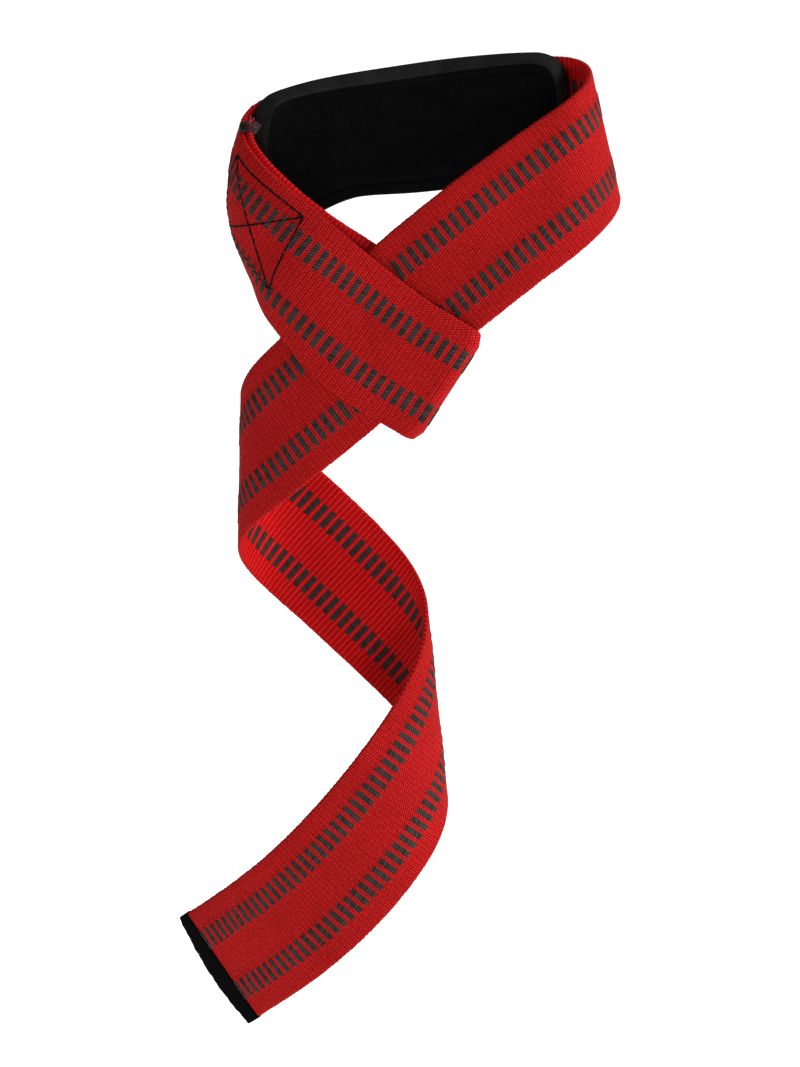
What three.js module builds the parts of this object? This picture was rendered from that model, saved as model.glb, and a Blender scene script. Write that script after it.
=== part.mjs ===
// Padded wrist strap: one webbing that is folded back into an eye, runs round the wrist, passes
// through the eye and hangs down as a curled tail, with a wrist pad inside the loop and a sealed tip.
// Millimetres, +Z up along the forearm, -Y towards the front, origin in the middle of the wrist hollow.

import * as THREE from 'three';

// Webbing
const WEB_WIDTH = 38;
const WEB_THICKNESS = 2;
const LAYER_GAP = 0.3; // clearance where two layers lie on each other
const EYE_SLACK = 1; // room left on each side of the strip inside the eye
const RAMP_LENGTH = 17; // stretch over which the layers of the eye spread apart
const RAMP_START = 27; // where that stretch starts, from the middle of the crossing

// Wrist loop: its surface joins two flat outlines, one above the other
const RIM_HEIGHT = 40;
const HIGH_RIM = { left: 50.8, right: 50, leftRadius: 9, rightRadius: 10, backRadius: 158, front: 7 };
const LOW_RIM = { left: 54.5, right: 57.5, leftRadius: 22, rightRadius: 20, backRadius: 78, front: 0 };
const CROSSING_ACROSS = -22; // place of the crossing on the low rim's straight front
const CROSSING_HEIGHT = -54; // from halfway between the rims
const FRONT_SPARE = 76; // straight front that goes on past the crossing, each way
const LOOP_TILT = -3; // degrees, the right side of the loop hangs higher
const HOLLOW_CENTRE = { x: 1.5, y: 20 }; // middle of the wrist hollow between the rims

// Free tail: a row for each fold, with places and spreads as shares of the tail's length.
// ease is the share of the spread over which the fold starts, and again over which it ends. turn is
// how far the webbing curls, skew how far the fold's line leans from straight across the webbing,
// and bow how far the webbing is pulled sideways in its own plane, all in degrees.
const TAIL_LENGTH = 290;
const TAIL_FOLDS = [
  { at: 0.083, spread: 0.097, ease: 0.1, turn: 34, skew: -36.5, bow: 0 },
  { at: 0.246, spread: 0.229, ease: 0.12, turn: 150, skew: -40.8, bow: 0 },
  { at: 0.574, spread: 0.448, ease: 0.5, turn: 168, skew: -50, bow: 0 },
  { at: 0.831, spread: 0.383, ease: 0.5, turn: 47, skew: -28, bow: 11 },
];

// Sealed end of the tail
const TIP_LENGTH = 4.5;
const TIP_THICKNESS = 2.4;

// Wrist pad
const PAD_LENGTH = 102;
const PAD_WIDTH = 43.5;
const PAD_DROP = 1.25; // of the pad's middle below the webbing's
const PAD_THICKNESS = 6.5;
const PAD_CORNER = 8;
const PAD_BEVEL = 2;
const PAD_START = 14; // past the loop's left bend, along the webbing
const END_GAP = 1.5; // between the pad and the cut end of the webbing

// Fineness of the faceted surfaces
const STEP_FLAT = 6;
const STEP_BENT = 2.5;
const BEND_REACH = 32; // of the loop's side bends along the webbing, each way
const STRAIGHT_END = 20; // stretch over which the grid turns straight across before a cut end
const ACROSS_WEB = 4;
const ACROSS_PAD = 6;
const CORNER_STEPS = 3;
const FOLD_STEPS = 8;
const RULINGS_PER_TURN = 720;
const FRONT_LINES = 40;
const TAIL_STEP = 0.5;
const TRACE_STEPS = 40; // to follow a straight line of the tail to its middle

const degrees = THREE.MathUtils.degToRad;
const lerp = THREE.MathUtils.lerp;

// A flat outline at one height: a straight front, two side arcs and a long back arc.
class Rim {
  constructor(height, { left, right, leftRadius, rightRadius, backRadius, front }) {
    this.height = height;
    this.front = front;
    const leftCentre = new THREE.Vector2(leftRadius - left, front + leftRadius);
    const rightCentre = new THREE.Vector2(right - rightRadius, front + rightRadius);
    // The back arc touches both side arcs from outside, so its centre is at known distances
    const fromLeft = backRadius - leftRadius;
    const backCentre = thirdPoint(leftCentre, rightCentre, fromLeft, backRadius - rightRadius, -1);
    this.arcs = [
      { centre: leftCentre, radius: leftRadius, until: turnOf(leftCentre.clone().sub(backCentre)) },
      { centre: backCentre, radius: backRadius, until: turnOf(rightCentre.clone().sub(backCentre)) },
      { centre: rightCentre, radius: rightRadius, until: 2 * Math.PI },
    ];
    this.frontRight = rightCentre.x;
    this.frontLeft = leftCentre.x;
  }

  // The point where the outline faces a direction, turned clockwise from the front as seen from above
  pointFacing(turn) {
    const arc = this.arcs.find(({ until }) => turn <= until) ?? this.arcs[2];
    const x = arc.centre.x - arc.radius * Math.sin(turn);
    const y = arc.centre.y - arc.radius * Math.cos(turn);
    return new THREE.Vector3(x, y, this.height);
  }

  // A point of the straight front, from its right end to its left end
  frontPoint(share) {
    return new THREE.Vector3(lerp(this.frontRight, this.frontLeft, share), this.front, this.height);
  }

  frontShare(x) {
    return (this.frontRight - x) / (this.frontRight - this.frontLeft);
  }
}

function turnOf(direction) {
  const turn = Math.atan2(-direction.x, -direction.y);
  return turn < 0 ? turn + 2 * Math.PI : turn;
}

// The point at given distances from a and from b, on one side of the line from a to b
function thirdPoint(a, b, fromA, fromB, side) {
  const along = b.clone().sub(a);
  const span = along.length();
  along.divideScalar(span);
  const x = (fromA ** 2 - fromB ** 2 + span ** 2) / (2 * span);
  const y = side * Math.sqrt(Math.max(fromA ** 2 - x ** 2, 0));
  return new THREE.Vector2(a.x + x * along.x - y * along.y, a.y + x * along.y + y * along.x);
}

const cross = (a, b) => a.x * b.y - a.y * b.x;

// The surface of the wrist loop. It is made of straight lines that join the two rims where they face
// the same way, so it unrolls flat, and the webbing is a straight strip on the unrolled surface.
class WristLoop {
  constructor() {
    const low = new Rim(-RIM_HEIGHT / 2, LOW_RIM);
    const high = new Rim(RIM_HEIGHT / 2, HIGH_RIM);
    const crossing = low.frontShare(CROSSING_ACROSS);
    const spare = FRONT_SPARE / (low.frontRight - low.frontLeft);
    this.lines = [];
    const addFront = (share, turn) => {
      this.lines.push({ turn, low: low.frontPoint(share), high: high.frontPoint(share) });
    };
    for (let k = 0; k <= FRONT_LINES; k++) addFront(lerp(crossing - spare, crossing, k / FRONT_LINES), 0);
    const first = this.lines.length - 1;
    for (let k = 1; k <= FRONT_LINES; k++) addFront(lerp(crossing, 1, k / FRONT_LINES), 0);
    for (let k = 1; k < RULINGS_PER_TURN; k++) {
      const turn = (2 * Math.PI * k) / RULINGS_PER_TURN;
      this.lines.push({ turn, low: low.pointFacing(turn), high: high.pointFacing(turn) });
    }
    for (let k = 0; k <= FRONT_LINES; k++) addFront(lerp(0, crossing, k / FRONT_LINES), 2 * Math.PI);
    const last = this.lines.length - 1;
    for (let k = 1; k <= FRONT_LINES; k++) {
      addFront(lerp(crossing, crossing + spare, k / FRONT_LINES), 2 * Math.PI);
    }
    this.unroll();
    this.layStrip(first, last);
  }

  unroll() {
    const [start, ...rest] = this.lines;
    start.flatLow = new THREE.Vector2(0, 0);
    start.flatHigh = new THREE.Vector2(0, start.low.distanceTo(start.high));
    let before = start;
    for (const line of rest) {
      line.flatLow = thirdPoint(
        before.flatLow, before.flatHigh,
        before.low.distanceTo(line.low), before.high.distanceTo(line.low), -1);
      line.flatHigh = thirdPoint(
        before.flatHigh, line.flatLow,
        before.high.distanceTo(line.high), line.low.distanceTo(line.high), 1);
      before = line;
    }
  }

  // The strip leaves the crossing on the first line and meets it again on the last one
  layStrip(first, last) {
    const share = (CROSSING_HEIGHT + RIM_HEIGHT / 2) / RIM_HEIGHT;
    const ends = [first, last].map((k) => {
      const { flatLow, flatHigh } = this.lines[k];
      return flatLow.clone().lerp(flatHigh, share);
    });
    this.origin = ends[0];
    this.along = ends[1].clone().sub(ends[0]);
    this.length = this.along.length();
    this.along.divideScalar(this.length);
    this.up = new THREE.Vector2(-this.along.y, this.along.x);
    const rise = this.lines.map(({ flatLow, flatHigh }) => flatHigh.clone().sub(flatLow));
    this.crossingAngle = Math.abs(Math.atan2(cross(rise[first], rise[last]), rise[first].dot(rise[last])));
    this.lines.forEach((line, k) => {
      const slope = cross(this.along, rise[k]);
      line.meets = cross(line.flatLow.clone().sub(this.origin), rise[k]) / slope;
      line.shear = -cross(this.up, rise[k]) / slope;
    });
  }

  // Which line, with a fraction, passes through the place p along and w across the strip
  lineThrough(p, w) {
    const reach = (k) => this.lines[k].meets + w * this.lines[k].shear;
    let below = 0;
    let above = this.lines.length - 1;
    while (above - below > 1) {
      const middle = (below + above) >> 1;
      if (reach(middle) <= p) below = middle;
      else above = middle;
    }
    const span = reach(above) - reach(below);
    return { below, above, fraction: span > 0 ? (p - reach(below)) / span : 0 };
  }

  at(p, w) {
    const { below, above, fraction } = this.lineThrough(p, w);
    const a = this.lines[below];
    const b = this.lines[above];
    const flatLow = a.flatLow.clone().lerp(b.flatLow, fraction);
    const flatRise = a.flatHigh.clone().lerp(b.flatHigh, fraction).sub(flatLow);
    const flat = this.origin.clone().addScaledVector(this.along, p).addScaledVector(this.up, w);
    const share = flat.sub(flatLow).dot(flatRise) / flatRise.lengthSq();
    const low = a.low.clone().lerp(b.low, fraction);
    const rise = a.high.clone().lerp(b.high, fraction).sub(low);
    const turn = lerp(a.turn, b.turn, fraction);
    const ruling = rise.clone().normalize();
    const normal = new THREE.Vector3(-Math.sin(turn), -Math.cos(turn), 0);
    normal.addScaledVector(ruling, -normal.dot(ruling)).normalize();
    return { point: low.addScaledVector(rise, share), normal };
  }

  // How far the surface's own straight line through the strip's middle leans, per mm across
  leanAt(p) {
    const { below, above, fraction } = this.lineThrough(p, 0);
    return lerp(this.lines[below].shear, this.lines[above].shear, fraction);
  }

  // The place along the middle of the strip where the loop faces a direction
  placeFacing(turn) {
    const line = this.lines.find((candidate) => candidate.turn >= turn);
    return line.meets;
  }
}

// The free tail: it goes on from the loop's end and curls along the table of folds.
class Tail {
  constructor(loop) {
    const end = loop.at(loop.length, 0);
    const before = loop.at(loop.length - TAIL_STEP, 0);
    const along = end.point.clone().sub(before.point).normalize();
    const normal = end.normal;
    const up = new THREE.Vector3().crossVectors(along, normal);
    this.frames = [{ point: end.point, along, up, normal, skew: skewAt(0) }];
    const steps = Math.ceil((TAIL_LENGTH + TIP_LENGTH + WEB_WIDTH) / TAIL_STEP);
    for (let k = 0; k < steps; k++) this.frames.push(this.next(k * TAIL_STEP));
  }

  next(s) {
    const here = this.frames[this.frames.length - 1];
    const turn = foldSum(s, 'turn') * TAIL_STEP;
    const bow = foldSum(s, 'bow') * TAIL_STEP;
    const hinge = here.up.clone().multiplyScalar(Math.cos(here.skew));
    hinge.addScaledVector(here.along, Math.sin(here.skew));
    const rotation = new THREE.Quaternion().setFromAxisAngle(hinge, -turn);
    const sideways = new THREE.Quaternion().setFromAxisAngle(here.normal, -bow);
    rotation.multiply(sideways);
    const turned = (vector) => vector.clone().applyQuaternion(rotation);
    return {
      point: here.point.clone().addScaledVector(here.along, TAIL_STEP),
      along: turned(here.along),
      up: turned(here.up),
      normal: turned(here.normal),
      skew: skewAt(s + TAIL_STEP),
    };
  }

  frameAt(s) {
    const place = THREE.MathUtils.clamp(s / TAIL_STEP, 0, this.frames.length - 1.001);
    const k = Math.floor(place);
    const a = this.frames[k];
    const b = this.frames[k + 1];
    const mix = (name) => a[name].clone().lerp(b[name], place - k);
    const frame = { point: mix('point'), along: mix('along'), up: mix('up'), normal: mix('normal') };
    frame.point.addScaledVector(frame.along, s - place * TAIL_STEP);
    return { ...frame, lean: Math.tan(lerp(a.skew, b.skew, place - k)) };
  }

  leanAt(p) {
    return this.frameAt(p).lean;
  }

  // Follow the straight line across the webbing that passes through p along and w across
  at(p, w) {
    let s = p;
    for (let k = 0; k < TRACE_STEPS; k++) s = (s + p - w * this.frameAt(s).lean) / 2;
    const { point, along, up, normal, lean } = this.frameAt(s);
    point.addScaledVector(up, w).addScaledVector(along, w * lean);
    return { point, normal: normal.normalize() };
  }
}

function foldSum(s, name) {
  return TAIL_FOLDS.reduce((sum, fold) => {
    const inside = 0.5 - Math.abs(s / TAIL_LENGTH - fold.at) / fold.spread;
    if (inside < 0) return sum;
    const strength = (1 - Math.cos(Math.PI * Math.min(inside / fold.ease, 1))) / 2;
    return sum + (strength * degrees(fold[name])) / ((1 - fold.ease) * fold.spread * TAIL_LENGTH);
  }, 0);
}

function skewAt(s) {
  const share = s / TAIL_LENGTH;
  const folds = TAIL_FOLDS;
  if (share <= folds[0].at) return degrees(folds[0].skew);
  for (let k = 1; k < folds.length; k++) {
    const [a, b] = [folds[k - 1], folds[k]];
    if (share <= b.at) return degrees(lerp(a.skew, b.skew, (share - a.at) / (b.at - a.at)));
  }
  return degrees(folds[folds.length - 1].skew);
}

const loop = new WristLoop();
const tail = new Tail(loop);

// A point p along and w across the webbing's middle surface, lifted outwards by offset.
// p is 0 at the crossing, grows round the wrist and goes on along the tail.
function place(p, w, offset) {
  const { point, normal } = p <= loop.length ? loop.at(p, w) : tail.at(p - loop.length, w);
  return point.addScaledVector(normal, offset);
}

// A closed body between layers of a grid. Inner layers are used only along the grid's edge.
function shell(layers, rows, columns, pointOf) {
  const positions = [];
  const index = [];
  const known = new Map();
  const vertex = (layer, i, j) => {
    const key = `${layer} ${i} ${j}`;
    if (!known.has(key)) {
      known.set(key, positions.length / 3);
      positions.push(...pointOf(layer, i, j).toArray());
    }
    return known.get(key);
  };
  const quad = (a, b, c, d) => index.push(a, b, c, a, c, d);
  const last = layers - 1;
  for (let i = 0; i < rows; i++) {
    for (let j = 0; j < columns; j++) {
      quad(vertex(0, i, j), vertex(0, i, j + 1), vertex(0, i + 1, j + 1), vertex(0, i + 1, j));
      quad(vertex(last, i, j), vertex(last, i + 1, j), vertex(last, i + 1, j + 1), vertex(last, i, j + 1));
    }
  }
  const edge = [];
  for (let j = 0; j < columns; j++) edge.push([0, j]);
  for (let i = 0; i < rows; i++) edge.push([i, columns]);
  for (let j = columns; j > 0; j--) edge.push([rows, j]);
  for (let i = rows; i > 0; i--) edge.push([i, 0]);
  for (let layer = 0; layer < last; layer++) {
    edge.forEach((here, k) => {
      const next = edge[(k + 1) % edge.length];
      const above = layer + 1;
      quad(vertex(layer, ...here), vertex(above, ...here), vertex(above, ...next), vertex(layer, ...next));
    });
  }
  const geometry = new THREE.BufferGeometry();
  geometry.setAttribute('position', new THREE.Float32BufferAttribute(positions, 3));
  geometry.setIndex(index);
  geometry.computeVertexNormals();
  return geometry;
}

// Evenly spaced places between two ends, no further apart than step
function places(from, to, step) {
  const count = Math.max(1, Math.ceil(Math.abs(to - from) / step));
  return Array.from({ length: count + 1 }, (_, k) => lerp(from, to, k / count));
}

const leftBend = loop.placeFacing(Math.PI / 2);
const padStart = leftBend + PAD_START;

// The eye's two layers lie on each other at its root and spread apart where the strip passes through
const layerDistance = WEB_THICKNESS + LAYER_GAP;
const eyeSpread = (p) => 1 - THREE.MathUtils.smoothstep(p, RAMP_START, RAMP_START + RAMP_LENGTH);
const outerOffset = (p) => eyeSpread(p) * (layerDistance + EYE_SLACK);
const innerOffset = (p) => -layerDistance - eyeSpread(p) * EYE_SLACK;

// The fold of the eye clears the corner of the strip that passes through it
const foldRadius = layerDistance + EYE_SLACK;
const stripCorner = (WEB_WIDTH / 2) * (1 / Math.sin(loop.crossingAngle) + 1 / Math.tan(loop.crossingAngle));
const foldHollow = Math.sqrt((foldRadius - WEB_THICKNESS / 2) ** 2 - (WEB_THICKNESS / 2) ** 2);
const eyeReach = stripCorner + LAYER_GAP - foldHollow;

// Rows of the webbing's grid. Each row lies on one of the surface's straight lines, so it leans by
// lean per mm across. Rows in the fold of the eye are turned about the fold's own line.
function webbingRows() {
  const rows = [];
  const straighten = (p, end) => THREE.MathUtils.smoothstep(Math.abs(p - end), 0, STRAIGHT_END);
  const innerEnd = padStart - END_GAP;
  const tailEnd = loop.length + TAIL_LENGTH;
  const leanInEye = (p) => loop.leanAt(Math.max(p, 0)) * THREE.MathUtils.smoothstep(p, -eyeReach, eyeReach);
  for (const p of places(innerEnd, -eyeReach, STEP_BENT)) {
    rows.push({ p, lean: leanInEye(p) * straighten(p, innerEnd), offsetAt: innerOffset });
  }
  for (let k = 1; k < FOLD_STEPS; k++) {
    rows.push({ p: -eyeReach, lean: 0, fold: (Math.PI * k) / FOLD_STEPS });
  }
  const leftEnd = leftBend + BEND_REACH;
  for (const p of places(-eyeReach, leftEnd, STEP_BENT)) {
    rows.push({ p, lean: leanInEye(p), offsetAt: outerOffset });
  }
  const rightBend = loop.placeFacing((3 * Math.PI) / 2);
  const stretches = [
    [leftEnd, rightBend - BEND_REACH, STEP_FLAT],
    [rightBend - BEND_REACH, rightBend + BEND_REACH, STEP_BENT],
    [rightBend + BEND_REACH, loop.length, STEP_FLAT],
  ];
  for (const [from, to, step] of stretches) {
    for (const p of places(from, to, step).slice(1)) {
      rows.push({ p, lean: loop.leanAt(p), offsetAt: outerOffset });
    }
  }
  for (const p of places(loop.length, tailEnd, STEP_BENT).slice(1)) {
    rows.push({ p, lean: tail.leanAt(p - loop.length) * straighten(p, tailEnd), offsetAt: outerOffset });
  }
  return rows;
}

function webbingGeometry() {
  const rows = webbingRows();
  return shell(2, rows.length - 1, ACROSS_WEB, (layer, i, j) => {
    const { p, lean, fold, offsetAt } = rows[i];
    const w = lerp(-WEB_WIDTH / 2, WEB_WIDTH / 2, j / ACROSS_WEB);
    const lift = (layer === 0 ? 1 : -1) * (WEB_THICKNESS / 2);
    if (fold) {
      const radius = foldRadius + lift;
      return place(p - radius * Math.sin(fold), w, -radius * Math.cos(fold));
    }
    const along = p + w * lean;
    const towards = offsetAt === innerOffset ? -1 : 1;
    return place(along, w, offsetAt(along) + towards * lift);
  });
}

// The pad follows the loop from inside. Its outline has round corners and its inner edge is bevelled.
function padGeometry() {
  const corner = (k) => (Math.PI / 2) * (k / CORNER_STEPS);
  const bent = leftBend + BEND_REACH - padStart;
  const middle = places(PAD_CORNER, bent, STEP_BENT);
  middle.push(...places(bent, PAD_LENGTH - PAD_CORNER, STEP_FLAT).slice(1));
  const rows = middle.length + 2 * CORNER_STEPS - 1;
  const outline = (i, inset) => {
    const round = PAD_CORNER - inset;
    const halfWidth = PAD_WIDTH / 2 - inset;
    if (i < CORNER_STEPS) {
      const angle = corner(i);
      return [inset + round * (1 - Math.cos(angle)), halfWidth - round * (1 - Math.sin(angle))];
    }
    if (i > rows - CORNER_STEPS) {
      const angle = corner(rows - i);
      const end = PAD_LENGTH - inset;
      return [end - round * (1 - Math.cos(angle)), halfWidth - round * (1 - Math.sin(angle))];
    }
    return [middle[i - CORNER_STEPS], halfWidth];
  };
  const back = -WEB_THICKNESS / 2 - LAYER_GAP;
  const layers = [
    { offset: back, inset: 0 },
    { offset: back - PAD_THICKNESS + PAD_BEVEL, inset: 0 },
    { offset: back - PAD_THICKNESS, inset: PAD_BEVEL },
  ];
  return shell(layers.length, rows, ACROSS_PAD, (layer, i, j) => {
    const [along, halfWidth] = outline(i, layers[layer].inset);
    const w = lerp(-halfWidth, halfWidth, j / ACROSS_PAD) - PAD_DROP;
    return place(padStart + along, w, layers[layer].offset);
  });
}

// The sealed tip is a short block that goes on from the webbing's end
function tipGeometry() {
  const start = loop.length + TAIL_LENGTH + LAYER_GAP;
  return shell(2, 2, ACROSS_WEB, (layer, i, j) => {
    const w = lerp(-WEB_WIDTH / 2, WEB_WIDTH / 2, j / ACROSS_WEB);
    return place(start + (TIP_LENGTH * i) / 2, w, (layer === 0 ? 1 : -1) * (TIP_THICKNESS / 2));
  });
}

function piece(name, geometry, color, roughness) {
  const material = new THREE.MeshStandardMaterial({ color, roughness, metalness: 0 });
  const mesh = new THREE.Mesh(geometry, material);
  mesh.name = name;
  return mesh;
}

const group = new THREE.Group();
group.add(piece('webbing_strap', webbingGeometry(), 0xc41a20, 0.75));
group.add(piece('wrist_pad', padGeometry(), 0x141415, 0.9));
group.add(piece('tail_tip', tipGeometry(), 0x121213, 0.6));
group.rotation.y = degrees(LOOP_TILT);
group.position.set(-HOLLOW_CENTRE.x, -HOLLOW_CENTRE.y, 0);

export default group;
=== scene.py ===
"""Looks of a padded wrist strap: ribbed red webbing with grey bars, a sewn eye, a foam pad and a sealed tail.

The webbing is one long ribbon. It starts at its cut end inside the loop, is folded back into the eye,
runs round the wrist, passes through the eye and hangs down as a curled tail. Shapes are worked out in
millimetres on the strap's own surface and turned to metres in the part's frame when they are placed.
"""

import logging
import math
from collections.abc import Callable
from dataclasses import dataclass, field
from enum import Enum

import bpy
import numpy as np
from mathutils import Matrix, Vector


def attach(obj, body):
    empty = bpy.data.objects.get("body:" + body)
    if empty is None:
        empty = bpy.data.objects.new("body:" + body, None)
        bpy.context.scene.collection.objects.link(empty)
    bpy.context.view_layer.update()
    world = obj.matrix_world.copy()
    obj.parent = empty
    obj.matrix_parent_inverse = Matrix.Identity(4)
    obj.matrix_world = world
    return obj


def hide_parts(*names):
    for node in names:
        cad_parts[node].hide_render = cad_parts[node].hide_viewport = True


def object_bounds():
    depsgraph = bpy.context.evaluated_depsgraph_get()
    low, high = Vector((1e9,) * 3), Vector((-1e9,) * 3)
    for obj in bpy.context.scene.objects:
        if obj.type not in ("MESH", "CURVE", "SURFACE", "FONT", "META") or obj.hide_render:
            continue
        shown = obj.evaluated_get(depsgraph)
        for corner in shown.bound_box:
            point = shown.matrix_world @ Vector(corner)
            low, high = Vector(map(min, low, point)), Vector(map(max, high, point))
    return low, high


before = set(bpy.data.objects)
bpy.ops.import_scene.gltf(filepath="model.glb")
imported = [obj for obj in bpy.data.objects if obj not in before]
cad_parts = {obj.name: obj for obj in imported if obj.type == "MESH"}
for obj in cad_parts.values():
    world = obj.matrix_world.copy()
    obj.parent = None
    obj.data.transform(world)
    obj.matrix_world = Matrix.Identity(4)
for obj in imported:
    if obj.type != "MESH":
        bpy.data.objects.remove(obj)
CAD_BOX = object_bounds()
LOG = logging.getLogger("wrist_strap")
MM = 0.001
TAU = 2 * math.pi
# Places and values, in order
Table = tuple[tuple[float, float], ...]
# How far a table's corners are rounded off to both sides, and over how many readings
TABLE_REACH = 6
TABLE_READINGS = 9
# Setting of a range node that rises smoothly
SMOOTH = {"interpolation_type": "SMOOTHSTEP"}


# The strap's surface


def third_point(a: np.ndarray, b: np.ndarray, from_a: float, from_b: float, side: int) -> np.ndarray:
    """Finds the point at given distances from two others.

    Args:
        a: First point, on a plane.
        b: Second point.
        from_a: Distance from the first point.
        from_b: Distance from the second point.
        side: 1 for the left of the line from a to b, -1 for its right.

    Returns:
        The third point.
    """
    along = b - a
    span = math.hypot(*along)
    along = along / span
    x = (from_a**2 - from_b**2 + span**2) / (2 * span)
    y = side * math.sqrt(max(from_a**2 - x**2, 0.0))
    return a + x * along + y * np.array([-along[1], along[0]])


def smoothstep(x: np.ndarray, start: float, end: float) -> np.ndarray:
    """Rises smoothly from 0 to 1 between start and end."""
    t = np.clip((x - start) / (end - start), 0, 1)
    return t * t * (3 - 2 * t)


def soft_table(rows: Table, places: np.ndarray) -> np.ndarray:
    """Reads a table of places and values, with its corners rounded off.

    Args:
        rows: Place and value of each row, in order.
        places: Where to read it.

    Returns:
        A value for each place.
    """
    known, values = np.array(rows).T
    shifts = np.linspace(-TABLE_REACH, TABLE_REACH, TABLE_READINGS)
    return np.mean([np.interp(places + shift, known, values) for shift in shifts], axis=0)


def cross2(a: np.ndarray, b: np.ndarray) -> np.ndarray:
    """Cross product of vectors on a plane."""
    return a[..., 0] * b[..., 1] - a[..., 1] * b[..., 0]


def unit(vectors: np.ndarray) -> np.ndarray:
    """Vectors of length 1 along the given ones."""
    return vectors / np.linalg.norm(vectors, axis=-1, keepdims=True)


@dataclass(frozen=True)
class Rim:
    """A flat outline of the wrist loop: a straight front, two side arcs and a long back arc."""

    height: float
    left: float
    right: float
    left_radius: float
    right_radius: float
    back_radius: float
    front: float

    @property
    def front_left(self) -> float:
        """Left end of the straight front."""
        return self.left_radius - self.left

    @property
    def front_right(self) -> float:
        """Right end of the straight front."""
        return self.right - self.right_radius

    def facing(self, turns: np.ndarray) -> np.ndarray:
        """Points where the outline faces the given directions.

        Args:
            turns: Angles clockwise from the front, as seen from above.

        Returns:
            Points, one row each.
        """
        left = np.array([self.front_left, self.front + self.left_radius])
        right = np.array([self.front_right, self.front + self.right_radius])
        reach = (self.back_radius - self.left_radius, self.back_radius - self.right_radius)
        back = third_point(left, right, *reach, -1)
        ends = [math.atan2(-x, -y) % TAU for x, y in (left - back, right - back)]
        which = np.searchsorted(ends, turns)
        centres = np.array([left, back, right])[which]
        radii = np.array([self.left_radius, self.back_radius, self.right_radius])[which]
        x = centres[:, 0] - radii * np.sin(turns)
        y = centres[:, 1] - radii * np.cos(turns)
        return np.stack([x, y, np.full(len(turns), self.height)], axis=-1)

    def front_points(self, shares: np.ndarray) -> np.ndarray:
        """Points of the straight front, at shares from its right end to its left end.

        Args:
            shares: 0 for its right end and 1 for its left end, and more past them.

        Returns:
            Points, one row each.
        """
        x = self.front_right + shares * (self.front_left - self.front_right)
        flat = np.ones(len(shares))
        return np.stack([x, self.front * flat, self.height * flat], axis=-1)


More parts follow.
